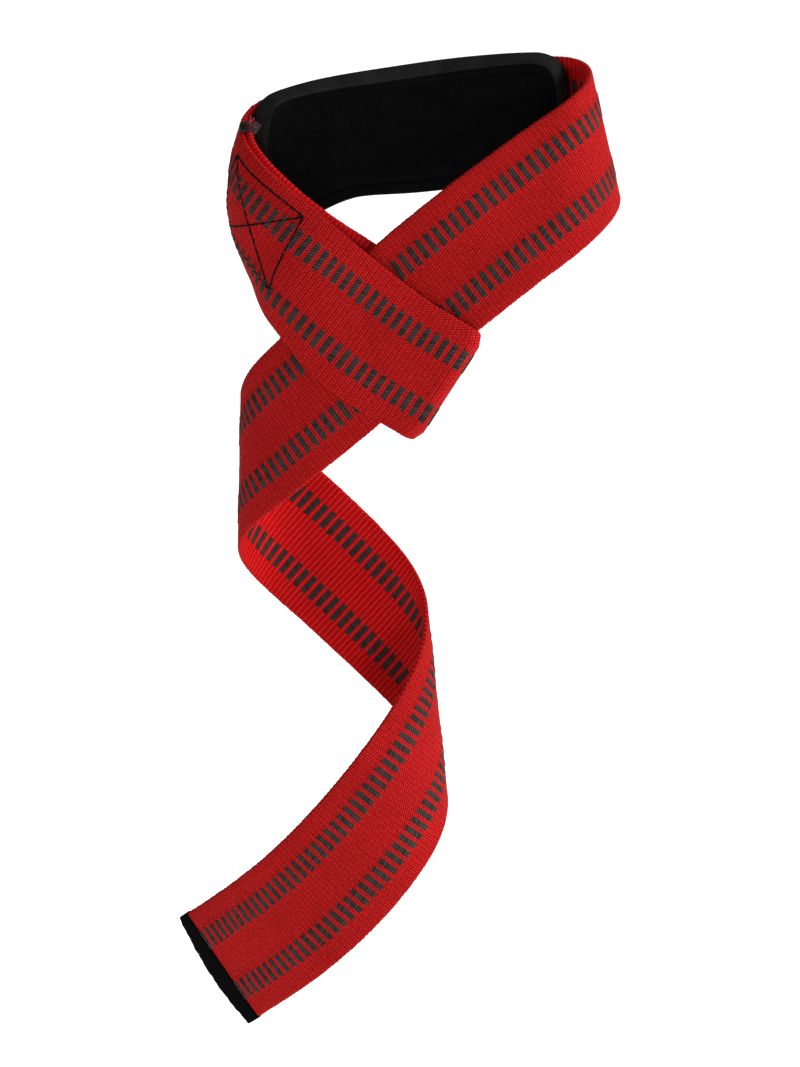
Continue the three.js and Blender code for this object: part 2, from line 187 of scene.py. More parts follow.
@dataclass
class WristLoop:
    """The loop's surface: straight lines that join two rims, so that it unrolls flat."""

    rim_height: float = 40.0
    crossing_across: float = -22.0
    crossing_height: float = -54.0
    front_spare: float = 76.0
    rulings_per_turn: int = 720
    front_lines: int = 40
    low: Rim = field(default_factory=lambda: Rim(-20.0, 54.5, 57.5, 22.0, 20.0, 78.0, 0.0))
    high: Rim = field(default_factory=lambda: Rim(20.0, 50.8, 50.0, 9.0, 10.0, 158.0, 7.0))

    def __post_init__(self) -> None:
        """Works out the lines, their places on the unrolled surface and the strip on it."""
        self._rule()
        self._unroll()
        self._lay_strip()

    def _rule(self) -> None:
        """Joins the rims where they face the same way."""
        front = self.low.front_right - self.low.front_left
        crossing = (self.low.front_right - self.crossing_across) / front
        spare = self.front_spare / front
        count = self.front_lines
        before = np.linspace(crossing - spare, crossing, count + 1)
        before = np.r_[before, np.linspace(crossing, 1, count + 1)[1:]]
        after = np.linspace(0, crossing, count + 1)
        after = np.r_[after, np.linspace(crossing, crossing + spare, count + 1)[1:]]
        turns = TAU * np.arange(1, self.rulings_per_turn) / self.rulings_per_turn
        self.turn = np.r_[np.zeros(len(before)), turns, np.full(len(after), TAU)]
        self.low_points, self.high_points = (
            np.vstack([rim.front_points(before), rim.facing(turns), rim.front_points(after)])
            for rim in (self.low, self.high)
        )
        self.first = count
        self.last = len(before) + len(turns) + count

    def _unroll(self) -> None:
        """Lays the lines out flat, one after the other."""
        low, high = self.low_points, self.high_points
        flat_low = [np.zeros(2)]
        flat_high = [np.array([0.0, np.linalg.norm(high[0] - low[0])])]
        for k in range(1, len(low)):
            low_step = np.linalg.norm(low[k] - low[k - 1])
            high_step = np.linalg.norm(high[k] - high[k - 1])
            diagonal = np.linalg.norm(low[k] - high[k - 1])
            flat_low.append(third_point(flat_low[-1], flat_high[-1], low_step, diagonal, -1))
            line = np.linalg.norm(high[k] - low[k])
            flat_high.append(third_point(flat_high[-1], flat_low[-1], high_step, line, 1))
        self.flat_low, self.flat_high = np.array(flat_low), np.array(flat_high)

    def _lay_strip(self) -> None:
        """Runs the strip straight from the crossing on the first line to the one on the last line."""
        share = (self.crossing_height + self.rim_height / 2) / self.rim_height
        rise = self.flat_high - self.flat_low
        start, end = (self.flat_low[k] + share * rise[k] for k in (self.first, self.last))
        self.origin = start
        self.length = math.hypot(*(end - start))
        self.along = (end - start) / self.length
        self.up = np.array([-self.along[1], self.along[0]])
        slope = cross2(self.along, rise)
        self.meets = cross2(self.flat_low - self.origin, rise) / slope
        self.shear = -cross2(self.up, rise) / slope
        turned = cross2(rise[self.first], rise[self.last])
        self.crossing_angle = abs(math.atan2(turned, rise[self.first] @ rise[self.last]))

    def at(self, p: np.ndarray, w: np.ndarray) -> tuple[np.ndarray, np.ndarray]:
        """Finds points of the surface.

        Args:
            p: Places along the strip, from the crossing.
            w: Places across the strip, from its middle.

        Returns:
            The points and the surface's outward directions there.
        """
        below = np.zeros(p.shape, int)
        above = np.full(p.shape, len(self.turn) - 1)
        while (above - below > 1).any():
            middle = (below + above) // 2
            passed = self.meets[middle] + w * self.shear[middle] <= p
            below = np.where(passed, middle, below)
            above = np.where(passed | (middle == below), above, middle)
        reach_below = self.meets[below] + w * self.shear[below]
        reach_above = self.meets[above] + w * self.shear[above]
        gap = np.maximum(reach_above - reach_below, 1e-9)
        fraction = ((p - reach_below) / gap)[..., None]

        def between(values: np.ndarray) -> np.ndarray:
            """Values of the two nearest lines, mixed."""
            return values[below] * (1 - fraction) + values[above] * fraction

        flat = self.origin + p[..., None] * self.along + w[..., None] * self.up
        flat_low = between(self.flat_low)
        flat_rise = between(self.flat_high) - flat_low
        share = ((flat - flat_low) * flat_rise).sum(-1) / (flat_rise**2).sum(-1)
        low = between(self.low_points)
        rise = between(self.high_points) - low
        turn = between(self.turn[:, None])[..., 0]
        ruling = unit(rise)
        normal = np.stack([-np.sin(turn), -np.cos(turn), np.zeros_like(turn)], axis=-1)
        normal = unit(normal - (normal * ruling).sum(-1, keepdims=True) * ruling)
        return low + rise * share[..., None], normal

    def place_facing(self, turn: float) -> float:
        """The place along the middle of the strip where the loop faces a direction."""
        return float(self.meets[np.argmax(self.turn >= turn)])


@dataclass(frozen=True)
class Fold:
    """A fold of the tail. Its place and spread are shares of the tail's length, its angles degrees."""

    at: float
    spread: float
    ease: float
    turn: float
    skew: float
    bow: float

    def strength(self, share: float, length: float) -> float:
        """How strongly the fold turns the webbing per millimetre.

        Args:
            share: Place along the tail, as a share of its length.
            length: The tail's length.

        Returns:
            The part of the fold's whole turn that falls on a millimetre there.
        """
        inside = 0.5 - abs(share - self.at) / self.spread
        if inside < 0:
            return 0.0
        rise = (1 - math.cos(math.pi * min(inside / self.ease, 1))) / 2
        return rise / ((1 - self.ease) * self.spread * length)


def turned(vector: np.ndarray, axis: np.ndarray, angle: float) -> np.ndarray:
    """Turns a vector about an axis.

    Args:
        vector: The vector.
        axis: The axis, of length 1.
        angle: The angle in radians.

    Returns:
        The turned vector.
    """
    beside = np.cross(axis, vector)
    along = axis * (axis @ vector) * (1 - math.cos(angle))
    return vector * math.cos(angle) + beside * math.sin(angle) + along


@dataclass
class Tail:
    """The free tail: it goes on from the loop's end and curls along the table of folds."""

    loop: WristLoop
    length: float = 290.0
    spare: float = 42.5
    step: float = 0.5
    trace_steps: int = 40
    folds: tuple[Fold, ...] = (
        Fold(at=0.083, spread=0.097, ease=0.1, turn=34, skew=-36.5, bow=0),
        Fold(at=0.246, spread=0.229, ease=0.12, turn=150, skew=-40.8, bow=0),
        Fold(at=0.574, spread=0.448, ease=0.5, turn=168, skew=-50, bow=0),
        Fold(at=0.831, spread=0.383, ease=0.5, turn=47, skew=-28, bow=11),
    )

    def __post_init__(self) -> None:
        """Walks down the tail and keeps a place and three directions for each step."""
        ends = np.array([self.loop.length - self.step, self.loop.length])
        points, normals = self.loop.at(ends, np.zeros(2))
        along, normal, point = unit(points[1] - points[0]), normals[1], points[1]
        up = np.cross(along, normal)
        steps = math.ceil((self.length + self.spare) / self.step)
        shares = np.arange(steps + 1) * self.step / self.length
        places = [fold.at for fold in self.folds]
        skews = [fold.skew for fold in self.folds]
        self.skew = np.radians(np.interp(shares, places, skews))
        rows = [(point, along, up, normal)]
        for share, skew in zip(shares[:-1], self.skew[:-1]):
            strength = [fold.strength(share, self.length) * self.step for fold in self.folds]
            turn = sum(s * math.radians(f.turn) for s, f in zip(strength, self.folds))
            bow = sum(s * math.radians(f.bow) for s, f in zip(strength, self.folds))
            hinge = up * math.cos(skew) + along * math.sin(skew)
            point = point + along * self.step
            pulled = [turned(vector, normal, -bow) for vector in (along, up, normal)]
            along, up, normal = (turned(vector, hinge, -turn) for vector in pulled)
            rows.append((point, along, up, normal))
        self.points, self.alongs, self.ups, self.normals = (np.array(row) for row in zip(*rows))
        self.places = np.arange(steps + 1) * self.step

    def at(self, p: np.ndarray, w: np.ndarray) -> tuple[np.ndarray, np.ndarray]:
        """Finds points of the tail, along the straight lines of its folds.

        Args:
            p: Places along the tail, from its start.
            w: Places across it, from its middle.

        Returns:
            The points and the webbing's outward directions there.
        """
        s = p.copy()
        for _ in range(self.trace_steps):
            s = (s + p - w * np.tan(np.interp(s, self.places, self.skew))) / 2

        def between(values: np.ndarray) -> np.ndarray:
            """Values of the two nearest steps, mixed."""
            return np.stack([np.interp(s, self.places, column) for column in values.T], axis=-1)

        point, along, up, normal = map(between, (self.points, self.alongs, self.ups, self.normals))
        lean = np.tan(np.interp(s, self.places, self.skew))
        before = (s - np.clip(s, self.places[0], self.places[-1]))[..., None]
        point = point + before * along + w[..., None] * (up + lean[..., None] * along)
        return point, unit(normal)


@dataclass
class StrapForm:
    """Where the webbing runs: the loop, the tail and the two layers of the eye."""

    web_width: float = 38.0
    web_thickness: float = 2.0
    layer_gap: float = 0.3
    eye_slack: float = 1.0
    ramp_start: float = 27.0
    ramp_length: float = 17.0
    loop_tilt: float = -3.0
    hollow_centre: tuple[float, float] = (1.5, 20.0)
    pad_start_past_bend: float = 14.0
    end_gap: float = 6.5
    root_distance: float = 1.8
    fold_pull: float = 1.4
    fold_skew: float = 0.035
    fold_fade: float = 4.0
    corner_start: float = 14.5
    corner_pull: float = 2.4
    web_stop: float = 3.5
    # How far the webbing is pulled up across the surface: place along, and the pull
    drift: Table = (
        (-24, -0.8), (-5, -2.2), (17, -0.8), (39, 1.2), (54, 1.6), (66, 1.4),
        (80, 1.6), (100, 1.2), (125, 0), (195, 0), (220, 1.8), (245, 2.5),
        (270, 2.0), (290, 0.3), (305, -2.2), (340, -3.0), (375, -0.4), (390, 0),
    )
    # How far the eye's inner layer stands above its outer one: place along, and the rise
    rise: Table = ((-20, 0), (2, 3.0), (15, 3.5), (30, 1.2), (60, 0.8))
    # How far the webbing bulges out: place along, and the bulge where it is highest
    bulge: Table = ((5, 0), (36, 1.6), (60, 2.2), (78, 1.6), (100, 0))
    bulge_middle: float = 3.0
    bulge_half: float = 13.5
    # How far all of it is pressed in at the right turn: place along, and the depth
    press: Table = ((165, 0), (188, 1.4), (216, 1.5), (242, 0))
    # How far the webbing's lower edge is gathered up: place along, and the height
    gather: Table = (
        (-30, 1.0), (-8, 0.8), (8, 1.0), (28, 4.0), (50, 4.8), (66, 2.8), (84, 0)
    )

    def __post_init__(self) -> None:
        """Works out the eye's sizes and the ribbon's whole length."""
        self.loop = WristLoop()
        self.tail = Tail(self.loop)
        self.pad_start = self.loop.place_facing(math.pi / 2) + self.pad_start_past_bend
        self.inner_end = self.pad_start - self.end_gap
        self.layer_distance = self.web_thickness + self.layer_gap
        self.fold_radius = self.layer_distance + self.eye_slack
        angle = self.loop.crossing_angle
        corner = (self.web_width / 2) * (1 / math.sin(angle) + 1 / math.tan(angle))
        half = self.web_thickness / 2
        hollow = math.sqrt((self.fold_radius - half) ** 2 - half**2)
        self.eye_reach = corner + self.layer_gap - hollow - self.fold_pull
        self.inner_length = self.inner_end + self.eye_reach
        self.fold_length = math.pi * self.fold_radius
        self.tail_end = self.loop.length + self.tail.length
        self.length = self.inner_length + self.fold_length + self.eye_reach + self.tail_end - self.web_stop

    def surface(self, p: np.ndarray, w: np.ndarray, offset: np.ndarray) -> np.ndarray:
        """Places points by the webbing's middle surface.

        Args:
            p: Places along the strap, 0 at the crossing.
            w: Places across, from the webbing's middle.
            offset: Distances outwards from the surface.

        Returns:
            Points in metres in the part's frame.
        """
        p, w, offset = (np.asarray(values, float) for values in np.broadcast_arrays(p, w, offset))
        offset = offset + soft_table(self.bulge, p) * (1 - ((w - self.bulge_middle) / self.bulge_half) ** 2)
        offset = offset - soft_table(self.press, p)
        w = w + soft_table(self.gather, p) * np.clip(-w / (self.web_width / 2), 0, None)
        shape, p, w = p.shape, p.ravel(), w.ravel()
        points, normals = np.empty((len(p), 3)), np.empty((len(p), 3))
        on_tail = p > self.loop.length
        for mask, piece, start in ((~on_tail, self.loop, 0.0), (on_tail, self.tail, self.loop.length)):
            if mask.any():
                points[mask], normals[mask] = piece.at(p[mask] - start, w[mask])
        points = points + normals * offset.ravel()[:, None]
        angle = math.radians(self.loop_tilt)
        x = points[:, 0] * math.cos(angle) + points[:, 2] * math.sin(angle) - self.hollow_centre[0]
        z = points[:, 2] * math.cos(angle) - points[:, 0] * math.sin(angle)
        placed = np.stack([x, points[:, 1] - self.hollow_centre[1], z], axis=-1)
        return placed.reshape(*shape, 3) * MM

    def eye_spread(self, p: np.ndarray) -> np.ndarray:
        """How far the eye's layers are spread, from 1 at its fold to 0 at its root."""
        return 1 - smoothstep(p, self.ramp_start, self.ramp_start + self.ramp_length)

    def outer_offset(self, p: np.ndarray) -> np.ndarray:
        """How far the eye's outer layer stands off the surface."""
        return self.eye_spread(p) * (self.layer_distance + self.eye_slack)

    def inner_offset(self, p: np.ndarray) -> np.ndarray:
        """How far the eye's inner layer lies inside the surface, as a negative distance."""
        return -self.root_distance - self.eye_spread(p) * (self.fold_radius - self.root_distance)

    def outer_layer(self, p: np.ndarray, w: np.ndarray, lift: np.ndarray) -> np.ndarray:
        """Places points by the eye's outer layer and by the rest of the strap.

        Args:
            p: Places along the strap, 0 at the crossing.
            w: Places across.
            lift: Distances from the webbing's middle towards its outer face.

        Returns:
            Points in metres in the part's frame.
        """
        return self.surface(p, w + soft_table(self.drift, p), self.outer_offset(p) + lift)

    def inner_layer(self, p: np.ndarray, w: np.ndarray, lift: np.ndarray) -> np.ndarray:
        """Places points by the eye's inner layer, whose outer face looks into the loop.

        Args:
            p: Places along the strap, 0 at the crossing.
            w: Places across.
            lift: Distances from the webbing's middle towards its outer face.

        Returns:
            Points in metres in the part's frame.
        """
        shift = soft_table(self.drift, p) + soft_table(self.rise, p)
        return self.surface(p, w + shift, self.inner_offset(p) - lift)

    def ribbon(self, u: np.ndarray, w: np.ndarray, lift: np.ndarray) -> np.ndarray:
        """Places points by the webbing itself.

        Args:
            u: Places along the ribbon, 0 at its cut end inside the loop.
            w: Places across it.
            lift: Distances from its middle towards its outer face.

        Returns:
            Points in metres in the part's frame.
        """
        u, w, lift = (np.asarray(values, float) for values in np.broadcast_arrays(u, w, lift))
        fold_place = u - self.inner_length
        outer_place = fold_place - self.fold_length
        angle = np.clip(fold_place / self.fold_radius, 0, math.pi)
        radius = self.fold_radius + lift
        inner_p = np.maximum(self.inner_end - u, -self.eye_reach)
        outer_p = outer_place - self.eye_reach
        inner = fold_place <= 0
        outer = outer_place >= 0
        p = np.where(outer, outer_p, inner_p - np.where(inner, 0, radius * np.sin(angle)))
        near_fold = 1 - smoothstep(p, -self.eye_reach - self.fold_radius, self.fold_fade)
        corner = np.clip((abs(w) - self.corner_start) / (self.web_width / 2 - self.corner_start), 0, 1)
        p = p + near_fold * (self.fold_skew * w + self.corner_pull * corner**3 * near_fold**2)
        w = w + soft_table(self.drift, p) + np.where(inner, soft_table(self.rise, p), 0)
        in_eye = np.where(inner, self.inner_offset(inner_p) - lift, -radius * np.cos(angle))
        offset = np.where(outer, self.outer_offset(outer_p) + lift, in_eye)
        return self.surface(p, w, offset)

    def frames(self, points_at: Callable, p: np.ndarray, w: np.ndarray, offset: float) -> list[Matrix]:
        """Places for small pieces on the surface, with x along it, y across it and z outwards.

        Args:
            points_at: The surface or the ribbon function of this class.
            p: Places along.
            w: Places across.
            offset: Distance outwards.

        Returns:
            A matrix for each place, in metres.
        """
        reach = 0.2
        middle = points_at(p, w, offset)
        along = unit(points_at(p + reach, w, offset) - points_at(p - reach, w, offset))
        across = points_at(p, w + reach, offset) - points_at(p, w - reach, offset)
        outwards = unit(np.cross(across, along))
        across = np.cross(along, -outwards)
        matrices = []
        for x, y, z, at in zip(along, across, outwards, middle):
            matrix = Matrix((x, y, z)).transposed().to_4x4()
            matrix.translation = Vector(at)
            matrices.append(matrix)
        return matrices


# Meshes and objects


class Slot(Enum):
    """The record's material slots."""

    WEBBING = "webbing"
    PAD = "pad"
    TIP = "tip"


def deselect_all() -> None:
    """Leaves edit mode and deselects every object."""
    if bpy.context.object and bpy.context.object.mode != "OBJECT":
        bpy.ops.object.mode_set(mode="OBJECT")
    bpy.ops.object.select_all(action="DESELECT")


def make_object(name: str, points: np.ndarray, faces: list[list[int]]) -> bpy.types.Object:
    """Makes a smooth mesh object at the origin.

    Args:
        name: The piece's name.
        points: Vertices in metres in the part's frame.
        faces: Vertex numbers of each face.

    Returns:
        The new object.
    """
    mesh = bpy.data.meshes.new(name)
    mesh.from_pydata(points.reshape(-1, 3).tolist(), [], faces)
    mesh.polygons.foreach_set("use_smooth", [True] * len(mesh.polygons))
    mesh.update()
    made = bpy.data.objects.new(name, mesh)
    bpy.context.scene.collection.objects.link(made)
    return made


def grid_faces(rows: int, columns: int) -> np.ndarray:
    """Quads of a grid whose columns close into a ring.

    Args:
        rows: Number of rows of vertices.
        columns: Number of vertices in each ring.

    Returns:
        Vertex numbers, four for each quad.
    """
    i, j = np.meshgrid(np.arange(rows - 1), np.arange(columns), indexing="ij")
    here, beside = i * columns + j, i * columns + (j + 1) % columns
    return np.stack([here, beside, beside + columns, here + columns], axis=-1).reshape(-1, 4)


def cut_slices(axis: int, start: float, end: float, step: float) -> None:
    """Cuts the mesh in edit mode into slices, so that it can be bent.

    Args:
        axis: Number of the axis that the cuts stand across.
        start: Where on that axis the first cut goes.
        end: Where the cuts end.
        step: Distance between cuts.
    """
    normal = [0.0, 0.0, 0.0]
    normal[axis] = 1.0
    for place in np.arange(start, end, step):
        point = [float(place) * part for part in normal]
        bpy.ops.mesh.select_all(action="SELECT")
        bpy.ops.mesh.bisect(plane_co=point, plane_no=normal)


def vertex_places(piece: bpy.types.Object) -> np.ndarray:
    """The places of a piece's vertices, one row each."""
    return np.array([vertex.co for vertex in piece.data.vertices])


def move_vertices(piece: bpy.types.Object, points: np.ndarray) -> None:
    """Moves each vertex of a piece to its new place."""
    for vertex, point in zip(piece.data.vertices, points):
        vertex.co = point


def finish_piece(piece: bpy.types.Object, material: bpy.types.Material) -> None:
    """Gives a piece its material and lets it ride on the part.

    Args:
        piece: The finished object.
        material: Its finish.
    """
    piece.data.materials.clear()
    piece.data.materials.append(material)
    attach(piece, "root")
    LOG.info("%s: %d faces, %s", piece.name, len(piece.data.polygons), material.name)


def lay_copies(model: bpy.types.Object, name: str, places: list[Matrix]) -> bpy.types.Object:
    """Copies a modelled piece to many places, each copy with its own mesh, and joins the copies.

    Args:
        model: The piece, modelled once at the origin. It is removed.
        name: Name of the joined object.
        places: Where each copy goes.

    Returns:
        The joined object.
    """
    deselect_all()
    copies = []
    for place in places:
        copy = model.copy()
        copy.data = model.data.copy()
        copy.data.transform(place)
        bpy.context.scene.collection.objects.link(copy)
        copy.select_set(True)
        copies.append(copy)
    bpy.context.view_layer.objects.active = copies[0]
    bpy.ops.object.join()
    joined = copies[0]
    joined.name = name
    joined.data.name = name
    bpy.data.objects.remove(model)
    return joined


# Finishes


def colour(value: str) -> tuple[float, float, float, float]:
    """Turns an sRGB colour to the linear one that a shader takes.

    Args:
        value: The colour as a hex value.

    Returns:
        Red, green, blue and 1 for opaque.
    """
    parts = [int(value[k : k + 2], 16) / 255 for k in (1, 3, 5)]
    linear = [c / 12.92 if c <= 0.04045 else ((c + 0.055) / 1.055) ** 2.4 for c in parts]
    return (*linear, 1.0)


def set_inputs(tree: bpy.types.NodeTree, node: bpy.types.Node, inputs: dict | tuple | list) -> None:
    """Links a node's inputs, or sets them where they are constant.

    Args:
        tree: The material's nodes.
        node: The node.
        inputs: What each input takes, by number or by name: a node, an output or a constant.
    """
    for key, value in inputs.items() if isinstance(inputs, dict) else enumerate(inputs):
        if isinstance(value, bpy.types.Node):
            value = value.outputs[0]
        if isinstance(value, bpy.types.NodeSocket):
            tree.links.new(value, node.inputs[key])
        else:
            node.inputs[key].default_value = value


def add_node(
    tree: bpy.types.NodeTree, kind: str, inputs: dict | tuple | list = (), **settings: object
) -> bpy.types.Node:
    """Adds a shader node with its settings and links.

    Args:
        tree: The material's nodes.
        kind: The node's type, without the words that all shader nodes start with.
        inputs: What each input takes, as set_inputs reads it.
        settings: The node's own properties.

    Returns:
        The new node.
    """
    node = tree.nodes.new("ShaderNode" + kind)
    for name, value in settings.items():
        setattr(node, name, value)
    set_inputs(tree, node, inputs)
    return node


def start_material(name: str) -> tuple[bpy.types.Material, bpy.types.NodeTree, bpy.types.Node]:
    """Makes a material.

    Args:
        name: What the material is.

    Returns:
        The material, its nodes and its surface shader.
    """
    material = bpy.data.materials.new(name)
    material.use_nodes = True
    tree = material.node_tree
    return material, tree, tree.nodes["Principled BSDF"]


def mix_colours(tree: bpy.types.NodeTree, share: object, low: object, high: object) -> bpy.types.NodeSocket:
    """Mixes two colours of a material.

    Args:
        tree: The material's nodes.
        share: How much of the second colour shows.
        low: First colour.
        high: Second colour.

    Returns:
        The output with the mixed colour.
    """
    node = add_node(tree, "Mix", {0: share, 6: low, 7: high}, data_type="RGBA")
    return node.outputs[2]


@dataclass(frozen=True)
class WovenPolyester:
    """Heavy ribbed polyester webbing, woven on a narrow loom.

    Its yarns are dull and slightly fuzzy, and each rib is a row of small beads of yarn. Grey yarns
    come up on every second rib as two rows of bars.
    """

    rib_pitch: float = 1.525
    bead_pitch: float = 0.73
    bead_slant: float = 0.4
    bar_length: float = 6.3
    bar_width: float = 1.9
    bar_row: float = 9.25
    lump_pitch: float = 0.8
    lump_slant: float = 1.2
    # How far the inner face's places across are shifted on the UV map
    face_shift: float = 100.0
    bump_depth: float = 0.16
    roughness: float = 0.75
    specular: float = 0.03
    # The red yarn is drawn in two tones: darker in the gaps between beads as painted shade, and lighter on
    # the bead crowns as painted highlight
    red_gap_shaded: str = "#86070a"
    red_bead_lit: str = "#c62826"
    inner_band: str = "#a3090c"
    inner_line: str = "#d63230"
    # Grey bars in two tones: the lumps lighter as painted highlight, the gaps between them darker, partly the
    # red yarn showing through and partly painted shade
    bar_lump_lit: str = "#443836"
    bar_gap_shaded: str = "#231a1a"
    bar_inner_lump_lit: str = "#3c3230"
    bar_inner_gap_shaded: str = "#241b1c"

    def build(self) -> bpy.types.Material:
        """Makes the material, on a UV map in millimetres along and across the ribbon.

        Returns:
            The material.
        """
        material, tree, shader = start_material("woven polyester webbing")
        uv = add_node(tree, "UVMap", uv_map="ribbon_mm")
        axes = add_node(tree, "SeparateXYZ", [uv])
        along, shifted = axes.outputs[0], axes.outputs[1]
        inner = add_node(tree, "Math", (shifted, self.face_shift / 2), operation="GREATER_THAN")
        shift = add_node(tree, "Math", (inner, self.face_shift), operation="MULTIPLY")
        across = add_node(tree, "Math", (shifted, shift), operation="SUBTRACT")
        mottle = add_node(tree, "TexNoise", {"Vector": uv, "Scale": 0.9, "Detail": 3.0, "Roughness": 0.6})
        cloudy = add_node(tree, "TexNoise", {"Vector": uv, "Scale": 0.05, "Detail": 2.0, "Roughness": 0.5})
        wobble = add_node(tree, "Math", (mottle, 0.5), operation="SUBTRACT")

        # Ribs, each of two rows of yarn that lean the same way
        ribs = add_node(tree, "Math", (along, self.rib_pitch), operation="DIVIDE")
        from_top = add_node(tree, "Math", (ribs, 0.5), operation="PINGPONG")
        valley = add_node(tree, "MapRange", (from_top, 0.3, 0.5, 0.0, 1.0), **SMOOTH)
        rows = add_node(tree, "Math", (ribs, 2.0), operation="MULTIPLY")
        row_number = add_node(tree, "Math", (rows,), operation="FLOOR")
        from_side = add_node(tree, "Math", (rows, 0.5), operation="PINGPONG")
        in_row = add_node(tree, "MapRange", (from_side, 0.03, 0.3, 0.0, 1.0), **SMOOTH)
        lean = add_node(tree, "Math", (rows, row_number), operation="SUBTRACT")
        slant = add_node(tree, "Math", (lean, self.bead_slant), operation="MULTIPLY")
        stagger = add_node(tree, "Math", (row_number, 0.5, slant), operation="MULTIPLY_ADD")
        beads = add_node(tree, "Math", (across, 1 / self.bead_pitch, stagger), operation="MULTIPLY_ADD")
        bead_number = add_node(tree, "Math", (beads,), operation="ROUND")
        from_bead = add_node(tree, "Math", (beads, 0.5), operation="PINGPONG")
        round_bead = add_node(tree, "MapRange", (from_bead, 0.46, 0.14, 0.0, 1.0), **SMOOTH)
        bead = add_node(tree, "Math", (round_bead, in_row), operation="MULTIPLY")
        cell = add_node(tree, "CombineXYZ", (row_number, bead_number, inner))
        chance = add_node(tree, "TexWhiteNoise", {"Vector": cell}, noise_dimensions="3D")

        # Bars: slanting lumps of grey yarn on every second rib
        half_bar = self.bar_width / 2
        pair = add_node(tree, "Math", (along, 2 * self.rib_pitch), operation="DIVIDE")
        from_pair = add_node(tree, "Math", (pair, 0.5), operation="PINGPONG")
        from_bar = add_node(tree, "Math", (from_pair, 2 * self.rib_pitch), operation="MULTIPLY")
        bar_number = add_node(tree, "Math", (pair,), operation="ROUND")
        bar_lean = add_node(tree, "Math", (pair, bar_number), operation="SUBTRACT")
        bar_slant = add_node(tree, "Math", (bar_lean, self.lump_slant), operation="MULTIPLY")
        lumps = add_node(tree, "Math", (across, 1 / self.lump_pitch, bar_slant), operation="MULTIPLY_ADD")
        from_lump = add_node(tree, "Math", (lumps, 0.5), operation="PINGPONG")
        lump_number = add_node(tree, "Math", (lumps,), operation="ROUND")
        lump_cell = add_node(tree, "CombineXYZ", (bar_number, lump_number, 5.0))
        lump_chance = add_node(tree, "TexWhiteNoise", {"Vector": lump_cell}, noise_dimensions="3D")
        round_lump = add_node(tree, "Math", (from_bar, 0.12, from_lump), operation="MULTIPLY_ADD")
        lump_edge = (round_lump, 0.5, 0.18, 0.0, 1.0)
        lump = add_node(tree, "MapRange", lump_edge, **SMOOTH)
        pinched = add_node(tree, "Math", (from_lump, 0.35, from_bar), operation="MULTIPLY_ADD")
        ragged = add_node(tree, "Math", (wobble, 0.3, pinched), operation="MULTIPLY_ADD")
        side_edge = (ragged, half_bar - 0.08, half_bar + 0.12, 1.0, 0.0)
        side = add_node(tree, "MapRange", side_edge, **SMOOTH)
        off_middle = add_node(tree, "Math", (across,), operation="ABSOLUTE")
        off_row = add_node(tree, "Math", (off_middle, self.bar_row), operation="SUBTRACT")
        from_row = add_node(tree, "Math", (off_row,), operation="ABSOLUTE")
        rounded = add_node(tree, "Math", (from_bar, 0.3, from_row), operation="MULTIPLY_ADD")
        rough_end = add_node(tree, "Math", (wobble, 0.8, rounded), operation="MULTIPLY_ADD")
        end_edge = (rough_end, self.bar_length / 2, self.bar_length / 2 + 0.25, 1.0, 0.0)
        end = add_node(tree, "MapRange", end_edge, **SMOOTH)
        bar = add_node(tree, "Math", (side, end), operation="MULTIPLY")

        # Colours: a painted highlight on the beads and painted shade in the rib valleys, a bright line on
        # each inner rib, and cloudy wear over all
        strength = add_node(tree, "MapRange", (chance, 0.0, 1.0, 0.65, 1.0))
        lit = add_node(tree, "Math", (bead, strength), operation="MULTIPLY")
        # Painted highlight on the beads, with painted shade that pulls the rib valleys towards the darker red
        bead_light_valley_shade = add_node(tree, "Math", (valley, -0.45, lit), operation="MULTIPLY_ADD")
        outer_red = mix_colours(tree, bead_light_valley_shade, colour(self.red_gap_shaded), colour(self.red_bead_lit))
        near_line = add_node(tree, "MapRange", (from_top, 0.17, 0.05, 0.0, 1.0), **SMOOTH)
        line = add_node(tree, "Math", (near_line, round_bead), operation="MULTIPLY")
        inner_red = mix_colours(tree, line, colour(self.inner_band), colour(self.inner_line))
        red = mix_colours(tree, inner, outer_red, inner_red)
        # Painted highlight on the bars' lumps, painted shade between them
        lump_lit = add_node(tree, "Math", (lump, lump_chance), operation="MULTIPLY")
        lump_tone = add_node(tree, "Math", (lump, 0.35, lump_lit), operation="MULTIPLY_ADD")
        outer_grey = mix_colours(tree, lump_tone, colour(self.bar_gap_shaded), colour(self.bar_lump_lit))
        inner_grey = mix_colours(tree, lump_tone, colour(self.bar_inner_gap_shaded), colour(self.bar_inner_lump_lit))
        grey = mix_colours(tree, inner, outer_grey, inner_grey)
        base = mix_colours(tree, bar, red, grey)
        tone = add_node(tree, "MapRange", (cloudy, 0.3, 0.7, 0.9, 1.06))
        grain = add_node(tree, "MapRange", (mottle, 0.25, 0.75, 0.82, 1.14))
        shade = add_node(tree, "Math", (tone, grain), operation="MULTIPLY")
        toned = add_node(tree, "VectorMath", {0: base, "Scale": shade.outputs[0]}, operation="SCALE")

        # Relief: beads between deep valleys, plainer ribs inside, and lumps on the bars
        deep = add_node(tree, "Math", (valley, -0.7), operation="MULTIPLY")
        beaded = add_node(tree, "Math", (bead, 0.9, deep), operation="MULTIPLY_ADD")
        plain = add_node(tree, "Math", (line, 0.6), operation="MULTIPLY")
        relief = add_node(tree, "Mix", {0: inner, 2: beaded, 3: plain}, data_type="FLOAT")
        lumpy = add_node(tree, "Math", (lump, 0.5, 0.1), operation="MULTIPLY_ADD")
        height = add_node(tree, "Mix", {0: bar, 2: relief, 3: lumpy}, data_type="FLOAT")
        fuzz = add_node(tree, "Math", (mottle, 0.5, height), operation="MULTIPLY_ADD")
        bump = add_node(tree, "Bump", {"Strength": 0.8, "Distance": self.bump_depth * MM, "Height": fuzz})
        gloss = {"Roughness": self.roughness, "Specular IOR Level": self.specular}
        set_inputs(tree, shader, {"Base Color": toned, "Normal": bump, **gloss})
        return material


